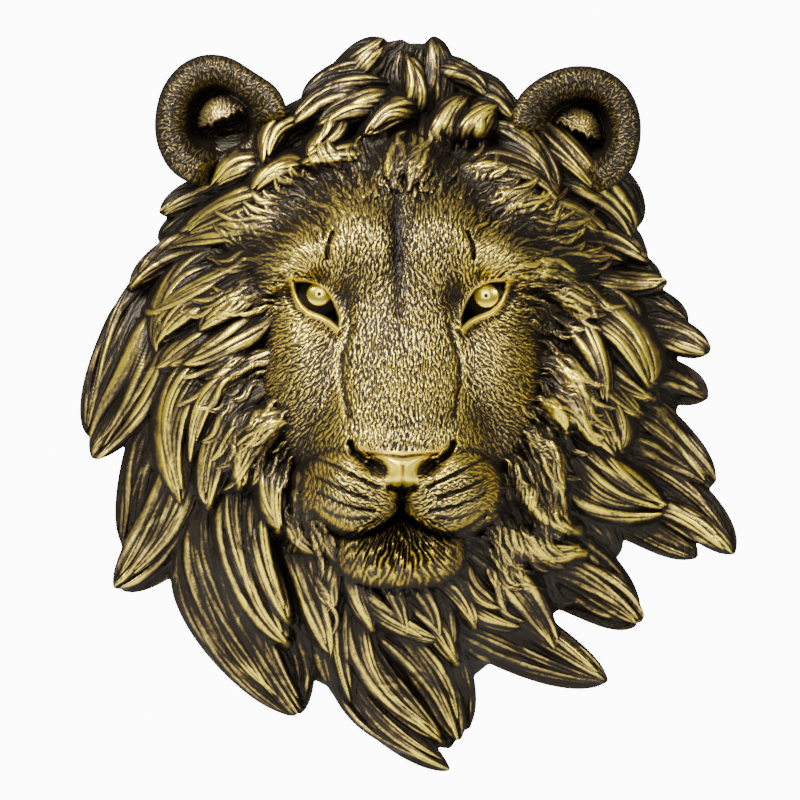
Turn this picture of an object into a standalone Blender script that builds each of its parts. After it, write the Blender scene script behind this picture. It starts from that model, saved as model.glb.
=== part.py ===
"""Lion head wall mask: one cast piece in antique gold, flat at the back and hung on a screw.

Metres, +Z up, +Y into the wall. The origin is on the flat back, behind the bridge of the nose.
Front sizes are millimetres on an elevation drawing, x to the viewer's right and z up. A form that stands
off the wall is drawn in towards the middle, as it is seen from the usual viewing distance, so the drawing
and the casting agree from there.
"""

import math
from collections import namedtuple

import bmesh
import bpy
import numpy as np
from mathutils import Matrix

MM = 0.001
VIEWING_DISTANCE = 1500.0
BEHIND_WALL = 9.0

# The mass of mane under the locks: a dome on the wall, by its reach from the dome's centre every 30 degrees.
DOME_CENTRE = (0.0, 10.0)
DOME_REACH = (140.0, 123.0, 146.0, 154.0, 148.0, 128.0, 140.0, 140.0, 150.0, 163.0, 140.0, 135.0)
DOME_RIM = 9.0
DOME_RIM_AT_CROWN = 34.0
DOME_RISE = 60.0
DOME_SHOULDER = 2.4
DOME_ROUNDING = 0.75

# The head turns a little to the viewer's right, so forms in front of this depth shift that way.
TURN = 0.03
TURN_FROM = 90.0

# Where each eye's corners are, as for the one on the right, and how far its lids open.
EYE_OUTER = (52.5, 59.0)
EYE_INNER = (31.0, 37.0)
EYE_OPEN_UP = 10.3
EYE_OPEN_DOWN = 3.4

# The middle line of the face: how far it stands off the wall at each height, chin to hairline.
PROFILE = (
    (-104.0, 20.0),
    (-91.0, 62.0),
    (-80.0, 88.0),
    (-60.0, 104.0),
    (-46.0, 122.0),
    (-30.0, 134.0),
    (-20.0, 137.0),
    (-10.0, 131.0),
    (4.0, 122.0),
    (22.0, 111.0),
    (42.0, 104.0),
    (64.0, 99.0),
    (90.0, 92.0),
    (112.0, 78.0),
    (130.0, 50.0),
)

# The face's own outline, round a middle, inside which its surface is worked out.
FACE_MIDDLE = (0.0, 12.0)
FACE_RADII = (82.0, 116.0)
FACE_BACK = 14.0

# The ears, by their middle, their outer radius and the depth of that middle off the wall.
EAR_MIDDLES = ((-90.5, 140.0), (90.0, 134.0))
EAR_RADIUS = 31.0
EAR_DEPTH = 44.0
EAR_TALLER = 1.06

# The keyhole in the back: a screw's head goes in at the round end, and its shank rests in the slot above.
KEYHOLE_HEIGHT = 84.0
KEYHOLE_HEAD_RADIUS = 6.0
KEYHOLE_SLOT_RADIUS = 2.75
KEYHOLE_RISE = 11.0
KEYHOLE_DEPTH = 10.0
KEYHOLE_LIP = 4.0

# A lock is this much wider than its upper crest, crowned by this share of its width, and lifts at its tip.
LOCK_WIDER = 1.25
LOCK_CROWN = 0.24
TIP_OFF_WALL = 10.0
ROOTS_ABOVE = 12.0

# How finely the mane is fused, how many triangles the mane and the face keep, and the thinnest one allowed.
VOXEL = 1.5
MANE_TRIANGLES = 5000
FACE_TRIANGLES = 4000
THINNEST = 0.1

Lock = namedtuple("Lock", "root tip bow width lift")

# Each lock: where its root and tip are, how far it bows to the left of its own direction as a share of its
# length, how wide it is, and how far it lies above the dome.
LEFT_FLANK = (
    Lock((-125, 55), (-156, -18), -0.06, 22, 0),
    Lock((-117, 45), (-154, -29), 0.06, 23, 4),
    Lock((-87, 77), (-135, 58), -0.16, 13, 8),
    Lock((-92, 69), (-122, 25), -0.20, 11, 9),
    Lock((-72, 69), (-124, 43), 0.03, 12, 12),
    Lock((-86, 50), (-122, 29), -0.16, 15, 11),
    Lock((-86, 39), (-121, 16), 0.04, 14, 9),
    Lock((-69, 51), (-100, 36), -0.10, 9, 15),
    Lock((-69, 41), (-108, 19), 0.05, 9, 14),
    Lock((-89, 20), (-109, -50), -0.20, 16, 12),
    Lock((-67, 19), (-105, -30), -0.20, 10, 14),
    Lock((-69, 2), (-97, -52), -0.12, 17, 13),
    Lock((-55, -12), (-79, -43), -0.25, 13, 18),
    Lock((-61, -29), (-60, -64), -0.10, 11, 20),
    Lock((-48, -32), (-51, -52), 0.10, 8, 16),
    Lock((-51, -47), (-43, -76), -0.20, 8, 14),
    Lock((-40, -45), (-42, -75), 0.10, 7, 14),
    Lock((-36, -52), (-30, -81), -0.10, 8, 14),
)
LOWER_LEFT = (
    Lock((-124, -12), (-137, -74), -0.04, 15, 0),
    Lock((-107, -15), (-143, -94), 0.12, 22, 5),
    Lock((-97, -40), (-139, -95), 0.14, 18, -3),
    Lock((-104, -70), (-53, -160), -0.15, 16, 2),
    Lock((-96, -57), (-52, -158), -0.14, 18, 5),
    Lock((-85, -55), (-50, -154), -0.10, 17, 3),
    Lock((-67, -95), (-50, -157), 0.12, 15, -3),
    Lock((-75, -39), (-57, -121), -0.13, 20, 10),
    Lock((-69, -52), (-56, -109), -0.10, 11, 14),
    Lock((-54, -65), (-34, -127), 0.03, 15, 9),
    Lock((-27, -85), (-24, -150), -0.06, 10, 6),
)
BEARD = (
    Lock((-29, -100), (25, -185), -0.19, 19, 1),
    Lock((-19, -96), (20, -169), -0.17, 14, 7),
    Lock((-11, -110), (30, -170), 0.10, 17, 6),
    Lock((2, -102), (34, -166), 0.13, 18, 0),
    Lock((-25, -82), (19, -120), -0.12, 11, 12),
    Lock((-3, -89), (28, -131), 0.04, 10, 11),
    Lock((12, -88), (26, -122), 0.10, 7, 9),
)
LOWER_RIGHT = (
    Lock((22, -100), (104, -140), -0.06, 23, 3),
    Lock((40, -90), (103, -138), -0.03, 14, 7),
    Lock((29, -72), (78, -123), 0.06, 18, 11),
    Lock((20, -86), (60, -114), -0.12, 10, 10),
    Lock((70, -92), (118, -113), 0.04, 17, -2),
    Lock((70, -82), (121, -111), 0.10, 15, 5),
    Lock((77, -67), (120, -109), 0.14, 17, 2),
    Lock((77, -45), (109, -78), 0.12, 17, -1),
    Lock((46, -54), (91, -75), -0.20, 14, 14),
    Lock((60, -31), (86, -66), -0.12, 11, 18),
    Lock((64, -16), (80, -54), 0.10, 8, 15),
)
RIGHT_FLANK = (
    Lock((112, -35), (167, -77), 0.10, 22, 0),
    Lock((117, -49), (166, -76), 0.06, 12, 6),
    Lock((100, -55), (149, -78), 0.03, 17, -2),
    Lock((87, -17), (132, -53), -0.08, 14, 12),
    Lock((79, -26), (131, -55), -0.18, 17, 8),
    Lock((111, -20), (157, -43), 0.06, 18, 0),
    Lock((115, -2), (158, -42), 0.13, 20, 2),
    Lock((114, 11), (154, 1), 0.10, 19, -2),
    Lock((120, 39), (156, 24), 0.04, 18, 3),
    Lock((112, 54), (145, 40), 0.14, 15, -1),
    Lock((92, 65), (134, 59), -0.10, 11, 10),
    Lock((90, 86), (124, 72), 0.04, 12, 8),
    Lock((97, 75), (132, 60), 0.12, 12, 2),
    Lock((94, 50), (119, 36), 0.20, 13, 8),
    Lock((92, 46), (126, 9), 0.10, 17, 14),
    Lock((72, 57), (99, 40), 0.15, 12, 14),
    Lock((100, 19), (126, 1), -0.06, 11, 9),
    Lock((98, 15), (120, -7), -0.08, 10, 11),
    Lock((84, 41), (103, -2), 0.12, 11, 14),
    Lock((76, 17), (98, -12), 0.15, 12, 15),
    Lock((94, 4), (110, -25), 0.12, 14, 13),
    Lock((77, 2), (108, -26), 0.02, 13, 14),
    Lock((70, -4), (84, -15), 0.20, 7, 18),
)
RIGHT_BROW = (
    Lock((52, 146), (103, 100), 0.06, 15, 12),
    Lock((77, 114), (117, 83), 0.10, 17, 10),
    Lock((100, 110), (118, 86), 0.20, 15, -2),
    Lock((44, 134), (78, 104), 0.18, 13, 16),
    Lock((37, 112), (79, 102), 0.18, 14, 18),
    Lock((47, 98), (78, 97), 0.15, 9, 17),
    Lock((52, 87), (102, 84), 0.18, 13, 15),
    Lock((60, 79), (123, 71), 0.12, 12, 11),
    Lock((69, 69), (111, 69), 0.10, 10, 12),
    Lock((62, 63), (88, 62), 0.12, 9, 15),
)
CROWN = (
    Lock((31, 130), (48, 147), 0.12, 12, 17),
    Lock((14, 134), (32, 151), 0.10, 12, 17),
    Lock((17, 164), (45, 152), 0.15, 13, 12),
    Lock((35, 156), (59, 141), 0.10, 13, 12),
    Lock((22, 157), (56, 150), 0.22, 15, 2),
    Lock((14, 140), (17, 182), -0.05, 18, 8),
    Lock((6, 142), (5, 171), -0.10, 10, 12),
    Lock((-31, 151), (-7, 181), 0.10, 20, 6),
    Lock((-1, 152), (1, 179), 0.00, 15, 1),
    Lock((-14, 165), (-49, 151), -0.12, 11, 11),
    Lock((-11, 155), (-53, 140), -0.14, 13, 13),
    Lock((-3, 148), (-40, 138), -0.10, 12, 15),
    Lock((9, 143), (-17, 133), -0.20, 10, 17),
    Lock((8, 136), (-5, 108), -0.12, 8, 12),
    Lock((10, 141), (4, 104), 0.08, 11, 12),
)
LEFT_BROW = (
    Lock((-32, 149), (-47, 120), 0.20, 7, 16),
    Lock((-45, 141), (-67, 119), -0.28, 7, 14),
    Lock((-16, 126), (-48, 118), -0.06, 7, 15),
    Lock((-46, 114), (-73, 105), -0.18, 10, 17),
    Lock((-66, 117), (-94, 106), -0.15, 11, 10),
    Lock((-54, 104), (-108, 83), -0.06, 13, 14),
    Lock((-81, 106), (-120, 93), -0.10, 14, 7),
    Lock((-87, 95), (-121, 80), -0.08, 13, 2),
    Lock((-59, 89), (-117, 77), -0.05, 12, 10),
)
MANE = LEFT_FLANK + LOWER_LEFT + BEARD + LOWER_RIGHT + RIGHT_FLANK + RIGHT_BROW + CROWN + LEFT_BROW


def smooth_max(a, b, blend):
    """The higher of two surfaces, with a fillet of about this size where they meet."""
    share = np.clip(0.5 + 0.5 * (a - b) / blend, 0.0, 1.0)
    return b + (a - b) * share + blend * share * (1.0 - share)


def mound(x, z, middle, radii, top, fall, tilt=0.0, power=2.0, sharp=2.0):
    """A rounded form that drops by fall from its top to the edge of a tilted (super)ellipse."""
    dx, dz = x - middle[0], z - middle[1]
    u = np.abs(dx * math.cos(tilt) + dz * math.sin(tilt)) / radii[0]
    v = np.abs(dz * math.cos(tilt) - dx * math.sin(tilt)) / radii[1]
    return top - fall * (u**power + v**power) ** (sharp / power)


def dent(x, z, middle, radii, deep, tilt=0.0):
    """A soft hollow: a Gaussian of this depth over a tilted ellipse."""
    return deep * np.exp(mound(x, z, middle, radii, 0.0, 1.0, tilt))


def stroke(x, z, start, end, width, deep):
    """A groove of this depth and half width along the line from start to end."""
    run = np.array(end, float) - np.array(start, float)
    along = np.clip(((x - start[0]) * run[0] + (z - start[1]) * run[1]) / (run @ run), 0.0, 1.0)
    away = np.hypot(x - start[0] - along * run[0], z - start[1] - along * run[1])
    return deep * np.exp(-((away / width) ** 2))


def dome_reach(angle):
    """The dome's reach at an angle, on a smooth closed curve through the twelve radii."""
    count = len(DOME_REACH)
    place = (angle / math.tau * count) % count
    before = np.floor(place).astype(int) % count
    share = place - np.floor(place)
    share = share * share * (3.0 - 2.0 * share)
    radii = np.array(DOME_REACH)
    return radii[before] * (1.0 - share) + radii[(before + 1) % count] * share


def dome_depth(x, z):
    """How far the mass of mane stands off the wall: deeper at the crown than round the sides."""
    dx, dz = x - DOME_CENTRE[0], z - DOME_CENTRE[1]
    radius = np.hypot(dx, dz)
    out = np.minimum(radius / dome_reach(np.arctan2(dz, dx)), 1.0)
    upwards = np.clip(dz / np.maximum(radius, 1e-6), 0.0, 1.0) * out
    rim = DOME_RIM + (DOME_RIM_AT_CROWN - DOME_RIM) * upwards**4
    return rim + DOME_RISE * (1.0 - out**DOME_SHOULDER) ** DOME_ROUNDING


def eye_lens(x, z):
    """How far inside the eye's opening a point is: 1 in the middle of it, 0 on the lids, below 0 outside."""
    run = np.array(EYE_INNER) - np.array(EYE_OUTER)
    long = math.hypot(*run)
    ux, uz = run / long
    along = (x - EYE_OUTER[0]) * ux + (z - EYE_OUTER[1]) * uz
    across = (x - EYE_OUTER[0]) * uz - (z - EYE_OUTER[1]) * ux
    arch = np.sin(np.clip(along / long, 0.0, 1.0) * math.pi) ** 0.8 + 1e-3
    half = np.where(across > 0, EYE_OPEN_UP, EYE_OPEN_DOWN)
    return 1.0 - (across / (half * arch)) ** 2


def face_depth(x, z):
    """How far the face stands off the wall, symmetric about the middle of the drawing."""
    side = np.abs(x)
    face = mound(x, z, (0, 56), (72, 66), 94, 36, sharp=2.6)
    face = smooth_max(face, mound(side, z, (36, 6), (32, 50), 90, 30, -0.12, sharp=2.4), 8)
    face = smooth_max(face, mound(x, z, (0, -40), (45, 34), 113, 34, sharp=3.0), 8)
    face = smooth_max(face, mound(x, z, (0, -68), (36, 30), 100, 32, sharp=3.0), 6)
    face = smooth_max(face, mound(side, z, (20, 74), (19, 24), 103, 12, sharp=3.0), 4)
    face = smooth_max(face, mound(side, z, (45, 71), (19, 10), 97, 14, -0.42, sharp=3.0), 5)
    crest = np.interp(z, *np.array(PROFILE).T)
    face = smooth_max(face, crest - 12.0 * (side / 25.0) ** 5, 5)
    face = smooth_max(face, mound(side, z, (22, -45), (25, 17), 138, 15, 0.55, sharp=3.5), 3)
    face = smooth_max(face, mound(x, z, (0, -33), (22, 11), 145, 9, power=4.0, sharp=3.0), 2)
    face = smooth_max(face, mound(x, z, (0, -74), (26, 16), 121, 18, power=2.6, sharp=4.0), 3)
    face = face - stroke(x, z, (0, 44), (0, 100), 3.2, 4.0)
    face = face - stroke(side, z, (37, 72), (34, 84), 2.2, 6.0)
    face = face - dent(side, z, (26, 52), (6, 11), 6.0)
    face = face - dent(side, z, (33, 12), (6, 20), 6.0)
    lens = eye_lens(side, z)
    face = face - dent(side, z, (41, 49), (18, 13), 8.0, 0.74)
    face = face - 4.0 * np.exp(-((lens / 0.9) ** 2))
    face = face + 5.0 * np.sqrt(np.clip(lens, 0.0, 1.0))
    face = face - stroke(side, z, (0, -42), (0, -57), 2.4, 10.0)
    mouth = -56.0 - 12.0 * np.sin(np.clip(side / 44.0, 0.0, 1.0) * math.pi)
    face = face - 9.0 * np.exp(-(((z - mouth) / 2.6) ** 2)) * (side < 44.0)
    face = face - dent(side, z, (13.5, -33), (6.5, 4.5), 12.0, -0.55)
    face = face - stroke(side, z, (24, -20), (17, -30), 2.0, 8.0)
    return face


def relief_depth(x, z):
    """The casting's surface without its locks: the face standing out of the dome of mane."""
    return smooth_max(dome_depth(x, z), face_depth(x, z), 5.0)


def ground_depth(x, z):
    """What the locks lie on: the casting's surface, but never far above the mass of mane."""
    return np.minimum(relief_depth(x, z), dome_depth(x, z) + ROOTS_ABOVE)


def placed(x, z, depth):
    """Points in metres for places on the drawing at these depths off the wall, turned and drawn in."""
    nearer = 1.0 - depth / VIEWING_DISTANCE
    turned = x + TURN * np.maximum(depth - TURN_FROM, 0.0)
    return np.stack([turned * nearer, -depth, z * nearer], axis=-1) * MM


def sphere_part(segments, rings, shape):
    """A sphere primitive whose every point moves to shape(t, around): t runs 0 to 1 from pole to pole."""
    bm = bmesh.new()
    bmesh.ops.create_uvsphere(bm, u_segments=segments, v_segments=rings, radius=1.0)
    unit = np.array([v.co for v in bm.verts])
    t = np.arccos(np.clip(unit[:, 2], -1.0, 1.0)) / math.pi
    around = np.arctan2(unit[:, 1], unit[:, 0])
    for vert, point in zip(bm.verts, shape(t, around)):
        vert.co = point
    bmesh.ops.recalc_face_normals(bm, faces=bm.faces)
    return bm


def disc_part(segments, rings, middle, radii, front_depth, back_depth):
    """A closed slab over an ellipse: pole to equator is its front surface, the rest its flat back."""

    def shape(t, around):
        front = t <= 0.5
        out = np.where(front, 2.0 * t, 2.0 - 2.0 * t)
        reach = radii(around)
        x = middle[0] + out * reach * np.cos(around)
        z = middle[1] + out * reach * np.sin(around)
        return placed(x, z, np.where(front, front_depth(x, z), back_depth))

    return sphere_part(segments, rings, shape)


def mane_mass():
    """The dome that carries the locks."""
    return disc_part(120, 100, DOME_CENTRE, dome_reach, dome_depth, -BEHIND_WALL)


def face_body():
    """The face, brow to chin, on a block that reaches back into the dome."""

    def reach(around):
        return 1.0 / np.hypot(np.cos(around) / FACE_RADII[0], np.sin(around) / FACE_RADII[1])

    def front(x, z):
        return np.maximum(face_depth(x, z), FACE_BACK + 4.0)

    return disc_part(220, 240, FACE_MIDDLE, reach, front, FACE_BACK)


def lock_body(lock):
    """A lock of hair: a leaf-shaped body along a bowed line, on top of the mass and solid down to the wall."""
    root, tip = np.array(lock.root, float), np.array(lock.tip, float)
    run = tip - root
    left = np.array([-run[1], run[0]])
    wide = LOCK_WIDER * lock.width

    def shape(t, around):
        along = t[:, None]
        spine = root + run * along + left * lock.bow * 4.0 * along * (1.0 - along)
        heading = run + left * lock.bow * 4.0 * (1.0 - 2.0 * along)
        heading = heading / np.linalg.norm(heading, axis=1, keepdims=True)
        leaf = np.sin(math.pi * t**0.75) ** 0.75
        half = wide / 2.0 * leaf * np.cos(around)
        x = spine[:, 0] - heading[:, 1] * half
        z = spine[:, 1] + heading[:, 0] * half
        ride = lock.lift * np.sin(0.5 * math.pi * np.minimum(t / 0.35, 1.0)) + 3.0 * t**2
        edge = 0.5 * ground_depth(spine[:, 0], spine[:, 1]) + 0.5 * ground_depth(x, z) + ride - 2.0
        crown = edge + (3.0 + LOCK_CROWN * wide) * leaf * np.sin(around)
        under = edge + (edge - TIP_OFF_WALL * t**3 + 6.0) * np.minimum(3.0 * leaf, 1.0) * np.sin(around)
        return placed(x, z, np.where(around >= 0.0, crown, under))

    return sphere_part(12, 14, shape)


def ear_body(middle):
    """A round ear: a cup with a thick rolled rim, its mouth to the front and open towards the head."""
    shares = (0.0, 0.16, 0.28, 0.38, 0.47, 0.56, 0.64, 0.80, 1.0)
    radii = (0.0, 9.0, 13.5, 17.0, 23.5, 29.5, 31.0, 22.0, 0.0)
    heights = (-15.0, -13.0, -5.0, 4.0, 8.0, 4.5, -3.0, -20.0, -27.0)
    outwards = math.copysign(1.0, middle[0])

    def shape(t, around):
        radius = np.interp(t, shares, radii) * EAR_RADIUS / max(radii)
        height = np.interp(t, shares, heights)
        x = radius * np.cos(around)
        z = radius * np.sin(around) * EAR_TALLER
        towards_head = np.clip(-0.75 * outwards * np.cos(around) - 0.66 * np.sin(around), 0.0, 1.0)
        height = height - 11.0 * towards_head**2 * np.clip(radius / 20.0 - 0.4, 0.0, 1.0)
        depth = EAR_DEPTH + height - 0.25 * outwards * x - 0.10 * z
        return placed(middle[0] + x, middle[1] + z, depth)

    return sphere_part(36, 28, shape)


def ear_root(middle):
    """The scalp that carries an ear: a rounded mass between the dome and the cup's back."""

    def shape(t, around):
        x = 0.84 * middle[0] + 27.0 * np.sin(math.pi * t) * np.cos(around)
        z = 0.84 * middle[1] + 27.0 * np.sin(math.pi * t) * np.sin(around)
        return placed(x, z, 22.0 + 24.0 * np.cos(math.pi * t))

    return sphere_part(24, 16, shape)


def joined_mesh(name, bodies):
    """One mesh of these closed bodies, which still overlap."""
    whole = bpy.data.meshes.new(name)
    gathered = bmesh.new()
    for body in bodies:
        piece = bpy.data.meshes.new(name + "_body")
        body.to_mesh(piece)
        body.free()
        gathered.from_mesh(piece)
        bpy.data.meshes.remove(piece)
    gathered.to_mesh(whole)
    gathered.free()
    return whole


def antique_gold():
    """Dark casting resin with brass-coloured wax rubbed over it."""
    material = bpy.data.materials.new("antique_gold")
    material.use_nodes = True
    shader = material.node_tree.nodes["Principled BSDF"]
    shader.inputs["Base Color"].default_value = (0.40, 0.29, 0.09, 1.0)
    shader.inputs["Metallic"].default_value = 0.8
    shader.inputs["Roughness"].default_value = 0.45
    return material


def helper(obj, collection):
    """Keeps a cutter out of the casting: it is drawn as wire and never rendered."""
    collection.objects.link(obj)
    obj.hide_render = True
    obj.display_type = "WIRE"
    return obj


def wall_cutter(collection):
    """Everything behind the wall plane."""
    bm = bmesh.new()
    bmesh.ops.create_cube(bm, size=1.0)
    mesh = bpy.data.meshes.new("wall_cutter")
    bm.to_mesh(mesh)
    bm.free()
    cutter = helper(bpy.data.objects.new("wall_cutter", mesh), collection)
    cutter.location = (0.0, 0.5, 0.0)
    return cutter


def keyhole_cutter(collection):
    """The keyhole: a round pocket, a narrow slot above it, and the wider groove behind the slot's lip."""
    mouth = math.pi / 2.0
    overrun = 2.0

    def pin(radius, height, front, back):
        bm = bmesh.new()
        bmesh.ops.create_cone(
            bm, cap_ends=True, segments=24, radius1=radius * MM, radius2=radius * MM, depth=(back - front) * MM
        )
        bmesh.ops.rotate(bm, verts=bm.verts, matrix=Matrix.Rotation(mouth, 3, "X"))
        bmesh.ops.translate(bm, verts=bm.verts, vec=(0.0, -0.5 * (back + front) * MM, height * MM))
        return bm

    def bar(radius, front, back):
        bm = bmesh.new()
        bmesh.ops.create_cube(bm, size=1.0)
        bmesh.ops.scale(bm, verts=bm.verts, vec=(2 * radius * MM, (back - front) * MM, KEYHOLE_RISE * MM))
        middle = KEYHOLE_HEIGHT + KEYHOLE_RISE / 2.0
        bmesh.ops.translate(bm, verts=bm.verts, vec=(0.0, -0.5 * (back + front) * MM, middle * MM))
        return bm

    top = KEYHOLE_HEIGHT + KEYHOLE_RISE
    bodies = [
        pin(KEYHOLE_HEAD_RADIUS, KEYHOLE_HEIGHT, -overrun, KEYHOLE_DEPTH),
        pin(KEYHOLE_SLOT_RADIUS, top, -overrun, KEYHOLE_LIP + 1.0),
        bar(KEYHOLE_SLOT_RADIUS, -overrun, KEYHOLE_LIP + 1.0),
        pin(KEYHOLE_HEAD_RADIUS, top, KEYHOLE_LIP, KEYHOLE_DEPTH - 0.2),
        bar(KEYHOLE_HEAD_RADIUS - 0.2, KEYHOLE_LIP + 0.2, KEYHOLE_DEPTH - 0.4),
    ]
    mesh = joined_mesh("keyhole_cutter", bodies)
    cutter = helper(bpy.data.objects.new("keyhole_cutter", mesh), collection)
    return cutter


def thinned(obj, triangles):
    """A collapse of the surface so far to about this many triangles."""
    bpy.context.view_layer.update()
    so_far = obj.evaluated_get(bpy.context.evaluated_depsgraph_get())
    count = sum(len(face.vertices) - 2 for face in so_far.data.polygons)
    thin = obj.modifiers.new("thin", "DECIMATE")
    thin.decimate_type = "COLLAPSE"
    thin.use_collapse_triangulate = True
    thin.ratio = triangles / count


def combined(obj, other, operation):
    """A Boolean of the casting with a helper shape."""
    step = obj.modifiers.new(other.name, "BOOLEAN")
    step.operation = operation
    step.solver = "EXACT"
    step.object = other
    return step


def face_block(collection):
    """The face as a helper shape, thinned on its own so that its features keep their share of faces."""
    body = face_body()
    mesh = bpy.data.meshes.new("face_block")
    body.to_mesh(mesh)
    body.free()
    block = helper(bpy.data.objects.new("face_block", mesh), collection)
    thinned(block, FACE_TRIANGLES)
    return block


def settle(obj):
    """Applies what was done so far, and takes out the slivers that Booleans leave along their seams."""
    bpy.context.view_layer.update()
    so_far = obj.evaluated_get(bpy.context.evaluated_depsgraph_get())
    bm = bmesh.new()
    bm.from_mesh(so_far.data)
    for _ in range(3):
        bmesh.ops.dissolve_degenerate(bm, dist=THINNEST * MM, edges=bm.edges)
        bmesh.ops.triangulate(bm, faces=bm.faces)
    obj.modifiers.clear()
    bm.to_mesh(obj.data)
    bm.free()


def cast_head(collection, helpers):
    """The whole mask as one casting: mane and ears fused, the face joined on and the back cut flat."""
    bodies = [mane_mass()]
    bodies += [lock_body(lock) for lock in MANE]
    bodies += [ear_body(middle) for middle in EAR_MIDDLES]
    bodies += [ear_root(middle) for middle in EAR_MIDDLES]
    head = bpy.data.objects.new("lion_head", joined_mesh("lion_head", bodies))
    collection.objects.link(head)
    head.data.materials.append(antique_gold())

    fuse = head.modifiers.new("fuse", "REMESH")
    fuse.mode = "VOXEL"
    fuse.voxel_size = VOXEL * MM
    thinned(head, MANE_TRIANGLES)
    combined(head, face_block(helpers), "UNION")
    combined(head, wall_cutter(helpers), "DIFFERENCE")
    combined(head, keyhole_cutter(helpers), "DIFFERENCE").use_self = True
    settle(head)
    return head


def main():
    for obj in list(bpy.data.objects):
        bpy.data.objects.remove(obj)
    mask = bpy.data.collections.new("lion_head_wall_mask")
    helpers = bpy.data.collections.new("cutters")
    bpy.context.scene.collection.children.link(mask)
    bpy.context.scene.collection.children.link(helpers)
    cast_head(mask, helpers)


main()
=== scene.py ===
"""Lion head wall mask: the carved and gilded surface round the plain casting.

The surface is a relief, a depth off the wall at every point of a fine square grid laid on the front
elevation: millimetres, x to the viewer's right, z up. Dome, face, locks, tufts and fur are carved into the
grid with whole-array formulas. Each region of the grid then becomes a closed slab, flat against the wall. A
form that stands off the wall is drawn in towards the middle, as it is seen from the usual viewing distance.
"""

import logging
import math
from dataclasses import dataclass, field, replace
from enum import Enum

import bmesh
import bpy
import numpy as np
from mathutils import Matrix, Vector

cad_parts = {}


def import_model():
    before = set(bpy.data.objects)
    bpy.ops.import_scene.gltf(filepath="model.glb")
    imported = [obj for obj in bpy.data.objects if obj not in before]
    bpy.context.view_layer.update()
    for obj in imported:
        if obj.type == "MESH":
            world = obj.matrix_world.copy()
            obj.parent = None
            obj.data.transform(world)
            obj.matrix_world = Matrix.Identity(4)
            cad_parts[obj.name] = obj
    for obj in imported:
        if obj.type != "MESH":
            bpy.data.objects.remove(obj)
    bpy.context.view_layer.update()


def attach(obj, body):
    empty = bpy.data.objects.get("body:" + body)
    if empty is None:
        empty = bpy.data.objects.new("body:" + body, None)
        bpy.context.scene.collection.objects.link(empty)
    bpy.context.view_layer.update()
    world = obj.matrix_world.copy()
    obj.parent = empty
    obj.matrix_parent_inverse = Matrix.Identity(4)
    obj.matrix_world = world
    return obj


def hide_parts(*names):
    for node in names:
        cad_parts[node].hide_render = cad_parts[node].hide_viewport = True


Array = np.ndarray
Point = tuple[float, float]

LOG = logging.getLogger("lion_head_wall_mask")

# Sizes below are millimetres on the elevation, unless they are named otherwise.
MM = 0.001
BODY = "root"
NODE = "lion_head"

VIEWING_DISTANCE = 1500.0
# What stands further off the wall than this shifts to the viewer's right, since the head is turned.
TURN_FROM = 90.0
TURN = 0.03
GRID_PITCH = 0.44
FAR_OUTSIDE = -50.0

# The mass of mane under the locks: a dome, by its reach from the centre every 30 degrees.
DOME_CENTRE = (0.0, 10.0)
DOME_REACH = (140.0, 123.0, 146.0, 154.0, 148.0, 128.0, 140.0, 140.0, 150.0, 163.0, 140.0, 135.0)
DOME_RIM = 9.0
DOME_RIM_AT_CROWN = 34.0
DOME_RISE = 60.0
DOME_SHOULDER = 2.4
DOME_ROUNDING = 0.75
ROOTS_ABOVE = 12.0

EYE_OUTER = (52.5, 59.0)
EYE_INNER = (31.0, 37.0)
IRIS_MIDDLES = ((-40.4, 53.0), (43.0, 52.2))
# The eyeballs are set this far behind the skin at a place under each eye.
UNDER_EYE = (46.0, 41.0)
SOCKET_DEPTH = 7.0
CHIN_FROM = (0.0, -52.0)

# The middle line of the face: height and depth off the wall, from the chin to the hairline.
PROFILE = (
    (-104.0, 20.0),
    (-91.0, 62.0),
    (-80.0, 88.0),
    (-60.0, 104.0),
    (-46.0, 122.0),
    (-30.0, 134.0),
    (-20.0, 137.0),
    (-10.0, 131.0),
    (4.0, 122.0),
    (22.0, 111.0),
    (42.0, 104.0),
    (64.0, 99.0),
    (90.0, 92.0),
    (112.0, 78.0),
    (130.0, 50.0),
)

EAR_MIDDLES = ((-90.5, 140.0), (90.0, 134.0))
EAR_RADIUS = 31.0
EAR_DEPTH = 44.0
# Ear outlines, as angle in degrees and radius.
LEFT_EAR = (
    (21.0, 34.5),
    (54.0, 28.8),
    (90.0, 32.8),
    (114.0, 34.0),
    (150.0, 32.5),
    (171.0, 31.6),
    (200.0, 33.0),
    (234.0, 35.5),
    (280.0, 32.0),
)
RIGHT_EAR = (
    (8.0, 30.6),
    (59.0, 33.6),
    (90.0, 33.0),
    (128.0, 33.6),
    (153.0, 36.0),
    (250.0, 31.0),
    (320.0, 32.3),
    (347.0, 30.4),
)

KEYHOLE_HEIGHT = 84.0
KEYHOLE_RISE = 11.0
KEYHOLE_HEAD_RADIUS = 6.0
KEYHOLE_SLOT_RADIUS = 2.75
KEYHOLE_DEPTH = 9.8


class Zone(Enum):
    """The regions of the relief, each a piece of its own so that no mesh grows too large."""

    FOREHEAD = "face_upper"
    MUZZLE = "face_lower"
    CROWN = "mane_crown"
    LEFT = "mane_left"
    LOWER_LEFT = "mane_lower_left"
    BEARD = "mane_beard"
    RIGHT = "mane_right"


# Where the mane is cut: from and to in degrees about the middle of the dome. The right flank is the rest.
MANE_CUTS = (
    (42.0, 138.0, Zone.CROWN),
    (138.0, 208.0, Zone.LEFT),
    (208.0, 262.0, Zone.LOWER_LEFT),
    (262.0, 328.0, Zone.BEARD),
)


class Sheen(Enum):
    """How worn and polished the gold is on a piece."""

    RUBBED = "rubbed"
    POLISHED = "polished"


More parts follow.
